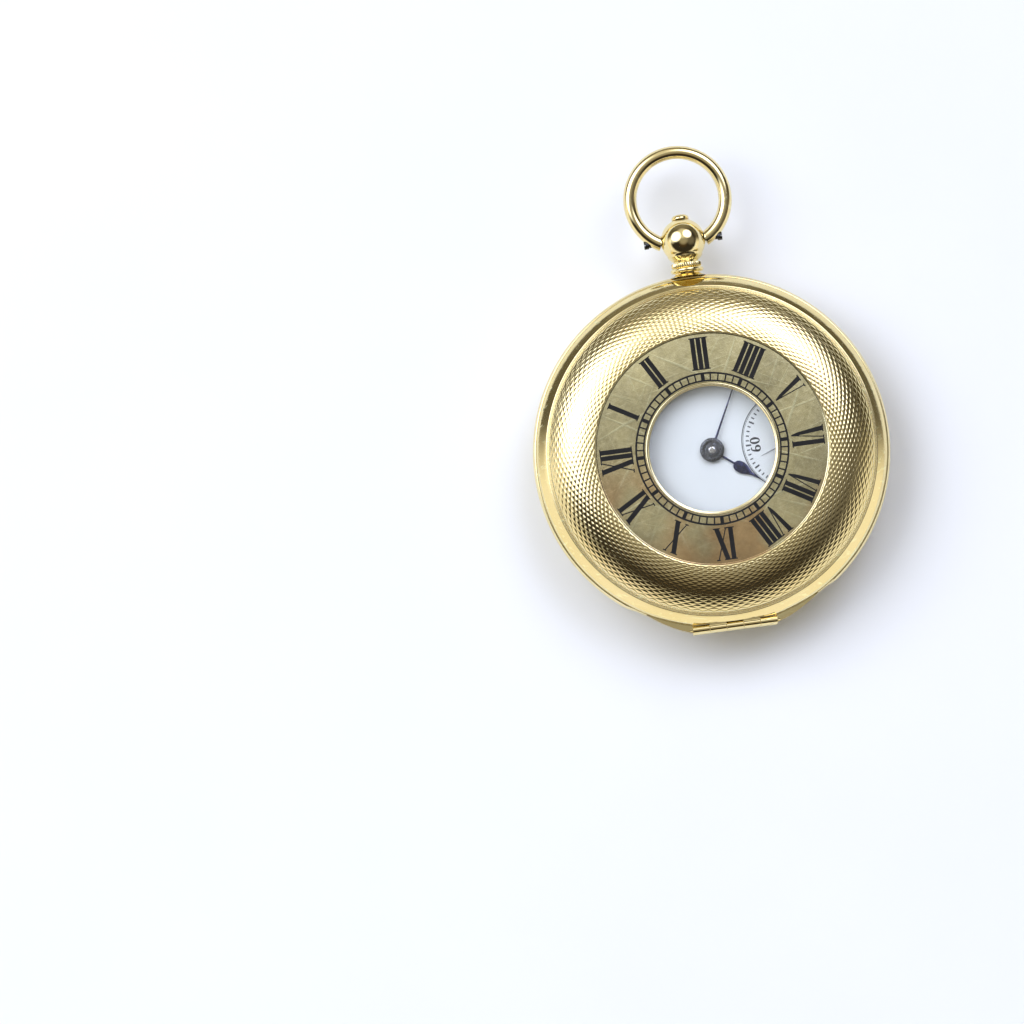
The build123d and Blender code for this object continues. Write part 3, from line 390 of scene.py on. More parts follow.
def engine_turning(first, last, rows, cells, per_cell, per_row, surface, depth, height, under):
    """Waved ring grooves, every other one half a wave on, with raised grains between.

    The mesh rows follow the grooves. surface(radius) gives r, z and the normal; under is the
    (radius, z) rings of the sheet's other side."""
    angle = circle_angles(cells * per_cell)
    pitch = (last - first) / rows
    wave = np.sin(cells * angle)

    def groove(k):
        swing = 0.0 if k in (0, rows) else WAVE * pitch * (-1) ** k
        return first + k * pitch + swing * wave

    radii, rises = [], []
    for k in range(rows):
        start = groove(k)
        gap = groove(k + 1) - start
        for step in range(per_row):
            part = step / per_row
            crown = math.sin(math.pi * part) ** 0.8
            radii.append(start + part * gap)
            rises.append(-depth + height * np.clip(gap / (2 * pitch), 0, 1) ** 0.9 * crown)
    radii.append(groove(rows))
    rises.append(np.full(len(angle), -depth))
    rise = np.array(rises)
    r, z, normal_r, normal_z = surface(np.array(radii))
    face = ring_points(r + rise * normal_r, z + rise * normal_z, angle)
    verts = np.concatenate([face, [ring_points(r, z, angle) for r, z in under]])
    return verts.reshape(-1, 3), grid_faces(len(verts), len(angle), True)


# ------------------------------------------------------------------ front cover
# The field's section is an arc, given by its slopes in degrees at its two edges.
SLOPE_IN, SLOPE_OUT = math.radians(2.0), math.radians(43.4)
ARC_R = (FIELD_OUT - FIELD_IN) / (math.sin(SLOPE_OUT) - math.sin(SLOPE_IN))
ARC_X = FIELD_IN - ARC_R * math.sin(SLOPE_IN)
ARC_Z = DISC_Z + 0.08 - ARC_R * math.cos(SLOPE_IN)


def front_surface(radius, offset=0.0):
    """The field at a radius, moved along its normal: r, z and the normal's r and z."""
    normal_r = (radius - ARC_X) / ARC_R
    normal_z = np.sqrt(1 - normal_r * normal_r)
    reach = ARC_R + offset
    return ARC_X + reach * normal_r, ARC_Z + reach * normal_z, normal_r, normal_z


under_r, under_z, _, _ = front_surface(np.array([FIELD_OUT, 21.5, 20.0, 18.2, FIELD_IN]), -SHEET)
make("cover_field",
     engine_turning(FIELD_IN, FIELD_OUT, rows=22, cells=90, per_cell=10, per_row=4,
                    surface=front_surface, depth=0.016, height=0.056,
                    under=list(zip(under_r, under_z))),
     GOLD_FIELD, "front_cover", "front_cover", angle=60, merge=False)

# The flat disc and the small step round it: radius, z.
DISC = [
    (9.40, 12.25), (9.40, 12.68), (9.42, DISC_Z), (16.20, DISC_Z), (16.25, 12.695),
    (16.29, 12.705), (16.40, 12.785), (16.45, 12.79), (16.495, 12.75), (16.495, 12.33),
    (16.3, 12.25)]
make("cover_disc", lathe(DISC, 540), GOLD_DISC, "front_cover", "front_cover",
     angle=25)

BEAD_R, BEADS = 0.083, 3
BEAD_RUN, BEAD_DROP = 0.755, 0.656   # the direction from bead to bead
BEAD_START = (22.88, 10.055)
SLOPE_START, SLOPE_WIDTH, SLOPE_STEPS = (23.40, 9.655), 1.16, 12


def rim_profile():
    """The rim's section from the field's edge: fine beads, a wide slope, a rounded edge."""
    points = [(22.86, 10.07)]
    for bead in range(BEADS):
        along = (2 * bead + 1) * BEAD_R
        centre_r = BEAD_START[0] + along * BEAD_RUN
        centre_z = BEAD_START[1] - along * BEAD_DROP
        for step in range(9):
            a = math.radians(180 - 22.5 * step)
            across, out = math.cos(a), math.sin(a) * 0.9
            points.append((centre_r + BEAD_R * (across * BEAD_RUN + out * BEAD_DROP),
                           centre_z + BEAD_R * (out * BEAD_RUN - across * BEAD_DROP)))
    points += [(23.27, 9.70), (23.33, 9.66), SLOPE_START]
    r, z = SLOPE_START
    run = SLOPE_WIDTH / SLOPE_STEPS
    for k in range(SLOPE_STEPS):
        # the slope steepens from 38 to 46 degrees
        r += run
        z -= run * math.tan(math.radians(38 + 8 * (k + 0.5) / SLOPE_STEPS))
        points.append((r, z))
    return points + [
        (24.66, z - 0.14), (24.72, z - 0.26), (24.745, 8.345), (24.735, 8.335),
        (24.70, RIM_FOOT_Z), (24.12, RIM_FOOT_Z), (24.10, 8.36), (24.05, 8.75),
        (23.4, 8.85), (22.95, 9.15), (22.62, 9.62), (22.60, 9.74)]


def cut_hinge_flat(verts, in_height):
    """Pulls the rim's points at the hinge in to a flat."""
    cut = (np.abs(verts[:, 0]) < FLAT_HALF) & (verts[:, 1] < FLAT_Y) & in_height
    verts[cut, 1] = FLAT_Y


front_rim = rim_profile()
rim_verts, rim_faces = lathe(front_rim, 480)
cut_hinge_flat(rim_verts, rim_verts[:, 2] < FLAT_Z)
# above the flat, the rim's bulge towards -Y is pressed in beyond this line
PRESS_Y = -24.5
pressed = (rim_verts[:, 1] < PRESS_Y) & (rim_verts[:, 2] >= FLAT_Z)
rim_verts[pressed, 1] = PRESS_Y - (PRESS_Y - rim_verts[pressed, 1]) * 0.12
make("cover_rim", (rim_verts, rim_faces), GOLD, "front_cover", "front_cover",
     angle=30)


def lid_knuckles(axis_z, up):
    """Two hinge knuckles, each with a bar to the rim above (up 1) or below (up -1) the axis."""
    parts = []
    for x0, x1 in ((-3.57, -1.23), (1.23, 3.57)):
        parts.append(x_tube(0.55, 0.27, x0, x1, HINGE_Y, axis_z))
        z0, z1 = sorted((axis_z + up * 0.28, axis_z + up * 0.64))
        parts.append(x_bar(x0, x1, HINGE_Y + 0.30, -23.98, z0, z1))
    return combine(*parts)


make("cover_hinge_knuckles", lid_knuckles(HINGE_Z, 1), GOLD, "front_cover", None,
     angle=30)

# The bead round the window: radius, z.
bead_top = [(9.215 + 0.17 * math.cos(math.radians(a)), 12.71 + 0.175 * math.sin(math.radians(a)))
            for a in range(0, 181, 15)]
window_bead = [(8.86, 12.02), (9.36, 12.02), (9.385, 12.06), (9.385, 12.72), *bead_top,
               (9.04, 12.24), (8.86, 12.22)]
make("aperture_bead", lathe(window_bead, 360), GOLD_PALE, "front_cover", "aperture_bezel")


def glass_dome(radius, z_edge, z_mid, thickness, steps=24):
    """The section of a domed glass; the levels are its underside's."""
    sag = z_mid - z_edge
    sphere = (radius * radius + sag * sag) / (2 * sag)
    radii = [radius * i / steps for i in range(steps + 1)]
    below = [(r, z_mid - sphere + math.sqrt(sphere * sphere - r * r)) for r in radii]
    return [(r, z + thickness) for r, z in below] + below[::-1]


make("window_glass", lathe(glass_dome(9.10, z_edge=12.22, z_mid=12.42, thickness=0.42), 192, False),
     GLASS, "front_cover", "aperture_glass", angle=40)
make("dial_glass", lathe(glass_dome(20.18, z_edge=10.32, z_mid=11.30, thickness=0.35), 240, False),
     GLASS, "case", "main_crystal", angle=40)

# ------------------------------------------------------------------ numerals and tracks
ROMAN = ["XII", "I", "II", "III", "IIII", "V", "VI", "VII", "VIII", "IX", "X", "XI"]


def numeral_strokes(text, bottom, top, stem, gap, hairline, serif, v_width, x_width):
    """Polygons of a serifed Roman numeral: x across, y outward."""
    strokes, feet, heads = [], [], []

    def stroke(x0, y0, x1, y1, low, high=None):
        high = low if high is None else high
        strokes.append([(x0 - low / 2, y0), (x0 + low / 2, y0),
                        (x1 + high / 2, y1), (x1 - high / 2, y1)])

    widths = {"I": stem, "V": v_width, "X": x_width}
    x = -(sum(widths[c] for c in text) + gap * (len(text) - 1)) / 2
    for letter in text:
        width = widths[letter]
        end = x + width
        heads.append((x - serif, x + stem + serif))
        if letter == "I":
            stroke(x + stem / 2, bottom, x + stem / 2, top, stem)
            feet.append((x - serif, x + stem + serif))
        elif letter == "V":
            # the thick stroke narrows below a knee, a fifth of the way up
            apex = x + width * 0.52
            knee_x = apex + 0.02 + 0.2 * (x + stem / 2 - apex - 0.02)
            knee_y = bottom + 0.2 * (top - bottom)
            stroke(apex + 0.02, bottom, knee_x, knee_y, hairline * 0.8, stem * 0.72)
            stroke(knee_x, knee_y, x + stem / 2, top, stem * 0.72, stem * 1.04)
            stroke(apex + 0.06, bottom, end - hairline / 2, top, hairline * 0.8, hairline)
            heads.append((end - hairline - serif * 0.9, end + serif * 0.9))
        else:
            stroke(end - stem / 2, bottom, x + stem / 2, top, stem * 1.06)
            stroke(x + hairline / 2 + 0.05, bottom, end - hairline / 2 - 0.05, top, hairline)
            feet.append((end - stem - serif, end + serif))
            feet.append((x - serif * 0.9, x + hairline + serif * 0.9 + 0.05))
            heads.append((end - hairline - serif * 0.9 - 0.05, end + serif * 0.9))
        x += width + gap
    for spans, y in ((feet, bottom), (heads, top - hairline)):
        # serifs that touch or nearly touch become one
        merged = []
        for start, end in sorted(spans):
            if merged and start <= merged[-1][1] + 0.12:
                merged[-1][1] = max(end, merged[-1][1])
            else:
                merged.append([start, end])
        strokes += [[(a, y), (b, y), (b, y + hairline), (a, y + hairline)] for a, b in merged]
    return strokes


def numeral_ring(z0, z1, **shape):
    """Prisms of the twelve numerals; XII is towards -X."""
    parts = []
    for hour, text in enumerate(ROMAN):
        t = math.radians(180 - 30 * hour)
        for k, polygon in enumerate(numeral_strokes(text, **shape)):
            placed = [(y * math.cos(t) + x * math.sin(t), y * math.sin(t) - x * math.cos(t))
                      for x, y in polygon]
            # the tops differ a little, so that crossing strokes don't share a face
            parts.append(prism(placed, z0, z1 + 0.0004 * (k % 7)))
    return parts


def tick_ring(inner, outer, z0, z1, count, width, every=None, wide=0.0, centre=(0, 0)):
    """Radial ticks; each one in every is wide."""
    parts = []
    for k in range(count):
        a = math.radians(360.0 / count * k)
        half = (wide if every and k % every == 0 else width) / 2
        c, s = math.cos(a), math.sin(a)
        corners = ((inner, -half), (outer, -half), (outer, half), (inner, half))
        parts.append(prism([(centre[0] + r * c - v * s, centre[1] + r * s + v * c)
                            for r, v in corners], z0, z1))
    return parts


CHAPTER_Z0, CHAPTER_Z1 = DISC_Z - 0.02, DISC_Z + 0.018
chapter = numeral_ring(CHAPTER_Z0, CHAPTER_Z1, bottom=11.22, top=15.82, stem=0.65, gap=0.17,
                       hairline=0.16, serif=0.17, v_width=1.66, x_width=1.80)
make("chapter_numerals", combine(*chapter), ENAMEL_BLACK, "front_cover", "chapter_enamel",
     merge=False)
track = [flat_ring(9.52, 9.75, CHAPTER_Z0, CHAPTER_Z1),
         flat_ring(10.58, 10.84, CHAPTER_Z0, CHAPTER_Z1),
         *tick_ring(9.70, 10.64, CHAPTER_Z0, CHAPTER_Z1 - 0.0006, count=60, width=0.20,
                    every=5, wide=0.52)]
make("minute_track", combine(*track), ENAMEL_BLACK, "front_cover", "chapter_enamel",
     merge=False)


# ------------------------------------------------------------------ back cover
def back_z(radius):
    """The back's level: flat to radius 8, then curving up."""
    return -0.25 + 4.25 * (np.maximum(radius - 8.0, 0.0) / 14.9) ** 2.6


def back_surface(radius, offset=0.0):
    """As front_surface; the normal points down."""
    z = back_z(radius)
    slope = (back_z(radius + 0.01) - back_z(radius - 0.01)) / 0.02
    length = np.sqrt(1 + slope * slope)
    normal_r, normal_z = slope / length, -1 / length
    return radius + offset * normal_r, z + offset * normal_z, normal_r, normal_z


under_r, under_z, _, _ = back_surface(
    np.array([FIELD_OUT, 21.5, 20.0, 18.0, 15.0, 12.0, 9.8]), -SHEET)
make("back_field",
     engine_turning(9.35, FIELD_OUT, rows=44, cells=72, per_cell=10, per_row=2,
                    surface=back_surface, depth=0.02, height=0.085,
                    under=[*zip(under_r, under_z), (9.2, under_z[-1] - 0.01)]),
     GOLD_FIELD, "back_cover", "back_cover", angle=60, merge=False)

# A round plate with a raised edge, (radius, z), and a square plaque below it.
ROUND_PLATE = [
    (0, -0.25), (8.94, -0.245), (9.02, -0.30), (9.12, -0.32), (9.22, -0.30), (9.30, -0.25),
    (9.34, -0.24), (9.34, 0.15), (9.2, 0.2), (0, 0.2)]
PLAQUE_HALF, PLAQUE_CORNER = 6.5, 0.5


def square_plaque():
    # half width, z
    levels = [(PLAQUE_HALF + 0.12, -0.2), (PLAQUE_HALF, -0.36), (PLAQUE_HALF, -0.42),
              (PLAQUE_HALF - 0.06, -0.485), (PLAQUE_HALF - 0.16, -0.5)]
    verts = []
    for half, z in levels:
        flat = half - PLAQUE_CORNER
        for k, (sx, sy) in enumerate(((1, 1), (-1, 1), (-1, -1), (1, -1))):
            for t in range(0, 91, 15):
                a = math.radians(90 * k + t)
                verts.append((sx * flat + PLAQUE_CORNER * math.cos(a),
                              sy * flat + PLAQUE_CORNER * math.sin(a), z))
    count = len(verts) // len(levels)
    caps = [list(range(count)), list(range(len(verts) - count, len(verts)))[::-1]]
    return verts, grid_faces(len(levels), count, False) + caps


make("back_cartouche", combine(lathe(ROUND_PLATE, 240, False), square_plaque()), GOLD,
     "back_cover", "back_cover", angle=30)

# The back rim mirrors the front one in the case's middle, its beads a little lower.
MIRROR = 2 * MID_Z
back_rim = [(r, MIRROR - z - (0.10 if r < 23.3 and z > 9.66 else 0.0)) for r, z in front_rim[:-4]]
back_rim += [(23.4, 5.32), (22.9, 4.95), (22.62, 4.42)]
back_rim = [(r, min(z, MIRROR - RIM_FOOT_Z) if r > 24 else z) for r, z in back_rim]
rim_verts, rim_faces = lathe(back_rim, 480)
cut_hinge_flat(rim_verts, rim_verts[:, 2] > MIRROR - FLAT_Z)
make("back_rim", (rim_verts, rim_faces), GOLD, "back_cover", "back_cover",
     angle=30)


def edge_lip():
    """A small lip standing out of the back rim, about 60 degrees round from +X."""
    angles = np.radians(np.linspace(57.5, 62.5, 13))
    swell = np.sin(np.linspace(0, math.pi, 13)) ** 0.6
    outer = [(r * math.cos(t), r * math.sin(t)) for r, t in zip(24.72 + 0.7 * swell, angles)]
    inner = [(24.45 * math.cos(t), 24.45 * math.sin(t)) for t in angles[::-1]]
    return prism(outer + inner, 5.62, 5.87, bevel=0.05)


make("back_hinge_knuckles", combine(lid_knuckles(MIRROR - HINGE_Z, -1), edge_lip()), GOLD,
     "back_cover", None, angle=30)

# ------------------------------------------------------------------ pendant, bow, push button
# The pendant's section, radius and y: a moulded foot, a reeded band, a neck, the ball.
PENDANT_FOOT = [
    (0.79, 24.98), (2.62, 24.98), (2.52, 25.08), (2.16, 25.22), (1.86, 25.36),
    (1.73, 25.47), (1.75, 25.57), (1.98, 25.62), (2.20, 25.68), (2.32, 25.80),
    (2.35, 25.96), (2.31, 26.12), (2.20, 26.24), (1.98, 26.29), (1.86, 26.34)]
PENDANT_REEDS = [
    (2.00, 26.40), (2.10, 26.47), (2.12, 26.56), (2.12, 26.86), (2.10, 26.95), (2.00, 27.02)]
PENDANT_NECK = [
    (1.80, 27.06), (1.68, 27.12), (1.70, 27.20), (1.82, 27.30), (2.02, 27.46),
    (2.24, 27.70), (2.46, 27.96)]
PENDANT_BORE = [
    (1.39, 33.07), (1.35, 33.04), (1.33, 32.95), (1.33, 32.29), (1.30, 32.25), (0.79, 32.24)]
REEDS = 40


def pendant():
    start, end = 128.0, math.degrees(math.asin(1.42 / BALL_R))
    turns = [math.radians(start + (end - start) * k / 40) for k in range(41)]
    ball = [(BALL_R * math.sin(a), BALL_Y + BALL_R * math.cos(a)) for a in turns]
    first = len(PENDANT_FOOT)

    def reeding(ring, angle):
        if first <= ring < first + len(PENDANT_REEDS):
            return -0.10 * (0.5 - 0.5 * np.cos(REEDS * angle)) ** 0.7
        return 0

    profile = PENDANT_FOOT + PENDANT_REEDS + PENDANT_NECK + ball + PENDANT_BORE
    verts, faces = lathe(profile, REEDS * 8, ripple=reeding)
    return np.column_stack([verts[:, 0], verts[:, 2], MID_Z + verts[:, 1]]), faces


make("pendant_body", pendant(), GOLD, "case", "pendant")

BOW_R, BOW_WIRE, BOW_Y = 6.73, 0.94, 36.1   # the ring's radius, its wire's and its centre
BOW_END = math.radians(-63.2)
BOW_ROWS, BOW_SEGMENTS, BOW_FITTED = 180, 40, 14   # rows fitted to the ball at each end
BOW_CLEARANCE = 0.075


def off_ball(points):
    """Moves points that are inside or too near the pendant's ball out to a clearance."""
    centre = np.array([0.0, BALL_Y, MID_Z])
    away = points - centre
    distance = np.linalg.norm(away, axis=-1, keepdims=True)
    limit = BALL_R + BOW_CLEARANCE
    return np.where(distance < limit, centre + away / distance * limit, points)


def bow():
    """A round wire bent to an open ring, thicker near its ends."""
    rows = []
    for i, a in enumerate(np.linspace(BOW_END, math.pi - BOW_END, BOW_ROWS)):
        t = abs(i / (BOW_ROWS - 1) * 2 - 1)
        wire_r = BOW_WIRE * (1 + 0.10 * max(0.0, (t - 0.82) / 0.18))
        out = np.array([math.cos(a), math.sin(a), 0])
        centre = np.array([0.0, BOW_Y, MID_Z]) + BOW_R * out
        for k in range(BOW_SEGMENTS):
            p = 2 * math.pi * k / BOW_SEGMENTS
            rows.append(centre + wire_r * (math.cos(p) * out
                                           + math.sin(p) * np.array([0, 0, 1.0])))
    rows = np.array(rows).reshape(BOW_ROWS, BOW_SEGMENTS, 3)
    rows[:BOW_FITTED] = off_ball(rows[:BOW_FITTED])
    rows[-BOW_FITTED:] = off_ball(rows[-BOW_FITTED:])
    ends = off_ball(np.array([rows[0].mean(0), rows[-1].mean(0)]))
    faces = grid_faces(BOW_ROWS, BOW_SEGMENTS, False)
    count = BOW_ROWS * BOW_SEGMENTS
    last = count - BOW_SEGMENTS
    for k in range(BOW_SEGMENTS):
        beside = (k + 1) % BOW_SEGMENTS
        faces.append([count, beside, k])
        faces.append([count + 1, last + k, last + beside])
    return np.concatenate([rows.reshape(-1, 3), ends]), faces


make("bow_ring", bow(), GOLD, "bow", "bow", angle=50)

# The button's section, radius and y: a stem and a domed cap.
PUSH_BUTTON = [
    (0.0, 23.0), (0.66, 23.0), (0.72, 23.1), (0.72, 33.12), (1.10, 33.14), (1.20, 33.2),
    (1.24, 33.34), (1.22, 33.5), (1.12, 33.68), (0.9, 33.83), (0.55, 33.93), (0.0, 33.97)]
button_verts, button_faces = lathe(PUSH_BUTTON, 96, False)
button_verts = np.column_stack(
    [button_verts[:, 0], button_verts[:, 2], MID_Z + button_verts[:, 1]])
make("push_button", (button_verts, button_faces), GOLD, "push_piece", "push_piece")

# ------------------------------------------------------------------ case middle
EDGE_STEPS, EDGE_GAP = 560, 29.0   # steps round, and degrees left clear each side of the hinge


def case_edge():
    """A rounded edge round the CAD case middle, open at the hinge and thinner at its ends."""
    profile = [(24.58, 8.245), (24.84, 8.245), (24.87, 8.235), (24.93, 8.20)]
    for k in range(1, 14):
        a = math.radians(62 - 124 * k / 14)
        profile.append((24.63 + 0.60 * math.cos(a) ** 0.9, MID_Z + 1.18 * math.sin(a)))
    profile += [(24.93, 6.0), (24.87, 5.965), (24.84, 5.955), (24.58, 5.955)]
    count = len(profile)
    start, end = -90 + EDGE_GAP, 270 - EDGE_GAP
    verts, faces = [], []
    for i in range(EDGE_STEPS + 1):
        t = i / EDGE_STEPS
        a = math.radians(start + (end - start) * t)
        taper = min(1.0, 0.25 + 30 * min(t, 1 - t))
        for r, z in profile:
            r = 24.6 + (r - 24.6) * (1 if r < 24.86 else taper)
            verts.append((r * math.cos(a), r * math.sin(a), z))
    for i in range(EDGE_STEPS):
        here, after = i * count, (i + 1) * count
        for q in range(count):
            beside = (q + 1) % count
            faces.append([here + q, after + q, after + beside, here + beside])
    faces += [list(range(count)), list(range(EDGE_STEPS * count, len(verts)))[::-1]]
    return verts, faces


make("case_edge", case_edge(), GOLD, "case", None, angle=30)


# ------------------------------------------------------------------ dial printing
def clear_of_seconds(parts, margin):
    """The parts that stay outside the seconds sub-dial."""
    def distance(verts):
        return np.hypot(verts[:, 0] - SECONDS[0], verts[:, 1] - SECONDS[1]).min()
    return [part for part in parts if distance(part[0]) > SECONDS_R + margin]


numerals = numeral_ring(PRINT_Z0, PRINT_Z1, bottom=13.6, top=17.7, stem=0.56, gap=0.26,
                        hairline=0.12, serif=0.17, v_width=1.66, x_width=1.76)
printing = [flat_ring(18.50, 18.58, PRINT_Z0, PRINT_Z1),
            flat_ring(19.12, 19.20, PRINT_Z0, PRINT_Z1),
            *clear_of_seconds(numerals, 0.15),
            *tick_ring(18.55, 19.15, PRINT_Z0, PRINT_Z1 - 0.0006, count=60, width=0.09,
                       every=5, wide=0.30)]
make("dial_numerals", combine(*printing), PRINT_BLACK, "case", None, merge=False)

FIGURE_H, FIGURE_W, FIGURE_STROKE = 1.42, 0.98, 0.31


def figure_bands(figure):
    """The bands of a 0 or a 6 about (0, 0): whether closed, outer and inner outline."""
    def oval(angles, half_w, half_h, y):
        return [(half_w * math.cos(a), y + half_h * math.sin(a)) for a in angles]

    around = np.linspace(0, 2 * math.pi, 33)[:-1]
    half_w, thin = FIGURE_W / 2, FIGURE_STROKE * 0.45
    bowl = FIGURE_H / 2 if figure == "0" else FIGURE_H * 0.29
    y = -FIGURE_H / 2 + bowl
    bands = [(True, oval(around, half_w, bowl, y),
              oval(around, half_w - FIGURE_STROKE, bowl - thin, y))]
    if figure == "6":
        over = np.linspace(math.radians(180), math.radians(62), 15)
        tail = FIGURE_H - bowl
        bands.append((False, oval(over, half_w, tail, y),
                      oval(over, half_w - FIGURE_STROKE * 0.9, tail - thin, y)))
    return bands


def band(closed, outer, inner, z0, z1):
    """A solid between two outlines."""
    n = len(outer)
    verts = [(x, y, z) for z in (z0, z1) for x, y in outer + inner]
    faces = []
    for i in range(n if closed else n - 1):
        j = (i + 1) % n
        faces += [[i, j, n + j, n + i], [2 * n + i, 3 * n + i, 3 * n + j, 2 * n + j],
                  [i, 2 * n + i, 2 * n + j, j], [n + i, n + j, 3 * n + j, 3 * n + i]]
    if not closed:
        faces += [[0, n, 3 * n, 2 * n], [n - 1, 3 * n - 1, 4 * n - 1, 2 * n - 1]]
    return verts, faces


def seconds_figures(text, radius, degrees):
    """Two figures on the seconds ring, their tops outward from the sub-dial's centre."""
    a = math.radians(degrees)
    c, s = math.cos(a), math.sin(a)
    parts = []
    for k, figure in enumerate(text):
        shift = (k - 0.5) * (FIGURE_W + 0.12)
        for closed, *outlines in figure_bands(figure):
            placed = [[(SECONDS[0] + c * (radius + y) + s * (x + shift),
                        SECONDS[1] + s * (radius + y) - c * (x + shift)) for x, y in line]
                      for line in outlines]
            parts.append(band(closed, *placed, PRINT_Z0, PRINT_Z1 + 0.0008))
    return combine(*parts)


rings = [flat_ring(inner, outer, PRINT_Z0, PRINT_Z1, 240, SECONDS) for inner, outer in
         ((SECONDS_R - 0.13, SECONDS_R), (SECONDS_R - 0.27, SECONDS_R - 0.21))]
make("seconds_ring", combine(*rings), PRINT_GREY, "case", None, merge=False)
ticks = tick_ring(6.12, 6.56, PRINT_Z0, PRINT_Z1 - 0.0006, count=60, width=0.18, centre=SECONDS)
ticks += tick_ring(5.85, 6.60, PRINT_Z0, PRINT_Z1 - 0.0003, count=12, width=0.24, centre=SECONDS)
make("seconds_track", combine(*ticks), PRINT_GREY, "case", None, merge=False)
make("seconds_figures", seconds_figures("60", radius=5.26, degrees=180), PRINT_BLACK, "case",
     None, merge=False)

# ------------------------------------------------------------------ hands
# Directions in degrees from +X, towards +Y.
MINUTE_DEG, HOUR_DEG, SECOND_DEG = 63.9, -38.4, 200.0


def hand(outline, degrees, z0, z1, crown, centre=(0, 0)):
    """A hand with a crowned top, from half its outline (x along, y half width)."""
    t = math.radians(degrees)
    shoulder, slope = z1 - crown, z1 - crown * 0.3
    section = ((-1, z0), (-1, shoulder), (-0.5, slope), (0, z1), (0.5, slope), (1, shoulder),
               (1, z0))
    verts = [(centre[0] + x * math.cos(t) - side * y * math.sin(t),
              centre[1] + x * math.sin(t) + side * y * math.cos(t), z)
             for x, y in outline for side, z in section]
    count = len(section)
    ends = [list(range(count))[::-1], list(range(len(verts) - count, len(verts)))]
    return verts, grid_faces(len(outline), count, False) + ends


def smooth(points, steps=6):
    """Catmull-Rom through (x, y) points, y kept above a least half width."""
    padded = np.array([points[0], *points, points[-1]], float)
    curve = []
    for p0, p1, p2, p3 in zip(padded, padded[1:], padded[2:], padded[3:]):
        for k in range(steps):
            u = k / steps
            curve.append(0.5 * ((2 * p1) + (-p0 + p2) * u + (2 * p0 - 5 * p1 + 4 * p2 - p3) * u * u
                                + (-p0 + 3 * p1 - 3 * p2 + p3) * u ** 3))
    curve.append(points[-1])
    return [(x, max(0.015, y)) for x, y in curve]


# Half outlines of the hands: x along, y half width.
HOUR_HAND = [(1.2, 0.17), (2.4, 0.14), (3.4, 0.13)] + smooth([
    (3.62, 0.17), (3.74, 0.44), (3.98, 0.66), (4.35, 0.78), (4.8, 0.80), (5.2, 0.74),
    (5.6, 0.60), (5.95, 0.43), (6.3, 0.28), (6.75, 0.17), (7.4, 0.11), (8.4, 0.04)])
MINUTE_HAND = [(1.0, 0.17), (3.0, 0.145), (6.0, 0.115), (9.0, 0.085), (10.4, 0.08)] + smooth([
    (10.7, 0.10), (11.1, 0.26), (11.7, 0.36), (12.3, 0.31), (12.8, 0.16), (13.6, 0.08),
    (15.4, 0.02)])
SECONDS_HAND = [
    (-1.7, 0.13), (-1.3, 0.15), (-0.6, 0.07), (0.4, 0.06), (2.4, 0.04), (4.9, 0.018)]
# Sections of the bosses and the centre pin: radius, z.
HOUR_BOSS = [
    (1.05, 9.97), (1.62, 9.97), (1.68, 10.02), (1.68, 10.12), (1.60, 10.17), (1.05, 10.17)]
MINUTE_BOSS = [
    (0.56, 10.30), (1.50, 10.30), (1.66, 10.33), (1.71, 10.38), (1.70, 10.43),
    (1.60, 10.50), (1.42, 10.545), (1.28, 10.555), (1.20, 10.53), (1.02, 10.515),
    (0.92, 10.54), (0.80, 10.575), (0.70, 10.57), (0.62, 10.53), (0.56, 10.50)]
SECONDS_BOSS = [
    (0.13, 9.3), (0.26, 9.3), (0.26, 9.84), (0.40, 9.86), (0.43, 9.90), (0.42, 9.97),
    (0.36, 10.0), (0.13, 10.0)]
CENTRE_PIN = [
    (0, 10.45), (0.54, 10.45), (0.54, 10.60), (0.52, 10.66), (0.44, 10.71), (0.30, 10.735),
    (0.0, 10.74)]

make("hour_hand_blade", hand(HOUR_HAND, HOUR_DEG, z0=10.0, z1=10.15, crown=0.07),
     BLUED, "hour_work", "hour_hand", angle=50)
make("hour_hand_boss", lathe(HOUR_BOSS, 120),
     STEEL_DARK, "hour_work", "hour_hand", angle=40)
make("minute_hand_blade", hand(MINUTE_HAND, MINUTE_DEG, z0=10.32, z1=10.43, crown=0.04),
     BLUED, "centre_train", "minute_hand", angle=50)
make("minute_hand_boss", lathe(MINUTE_BOSS, 144),
     STEEL_DARK, "centre_train", "minute_hand")
make("seconds_hand_blade",
     hand(SECONDS_HAND, SECOND_DEG, z0=9.88, z1=9.96, crown=0.03, centre=SECONDS),
     BLUED, "fourth_train", "seconds_hand", angle=50)
make("seconds_hand_boss", lathe(SECONDS_BOSS, 60, centre=SECONDS),
     BLUED, "fourth_train", "seconds_hand", angle=40)
make("centre_pin_end", lathe(CENTRE_PIN, 72, False),
     STEEL_BRIGHT, "centre_train", None, angle=40)

# ------------------------------------------------------------------ CAD nodes that stay
FINISH = {
    GOLD: "case_middle hinge_pins",
    GOLD_INNER: "inner_cover glass_bezel",
    ENAMEL_WHITE: "dial",
    STEEL: """lock_spring fly_spring case_spring_screws barrel_arbor ratchet_wheel click
        click_spring mainspring centre_arbor third_pinion fourth_pinion escape_pinion
        pallet_arbor pallet_fork balance_staff cannon_pinion regulator escape_wheel
        hairspring_stud roller_table""",
    STEEL_DARK: "bow_screws",
    BLUED: "movement_screws hairspring case_screws",
    GILT: "pillar_plate pillars top_plate balance_cock pallet_bridge",
    GILT_WHEEL: """barrel barrel_cover centre_wheel third_wheel fourth_wheel minute_wheel
        hour_wheel balance_wheel balance_screws""",
    RUBY: "pivot_jewels endstone pallet_stones impulse_jewel",
}
for finish, names in FINISH.items():
    for name in names.split():
        NODES[name].data.materials.clear()
        NODES[name].data.materials.append(finish)


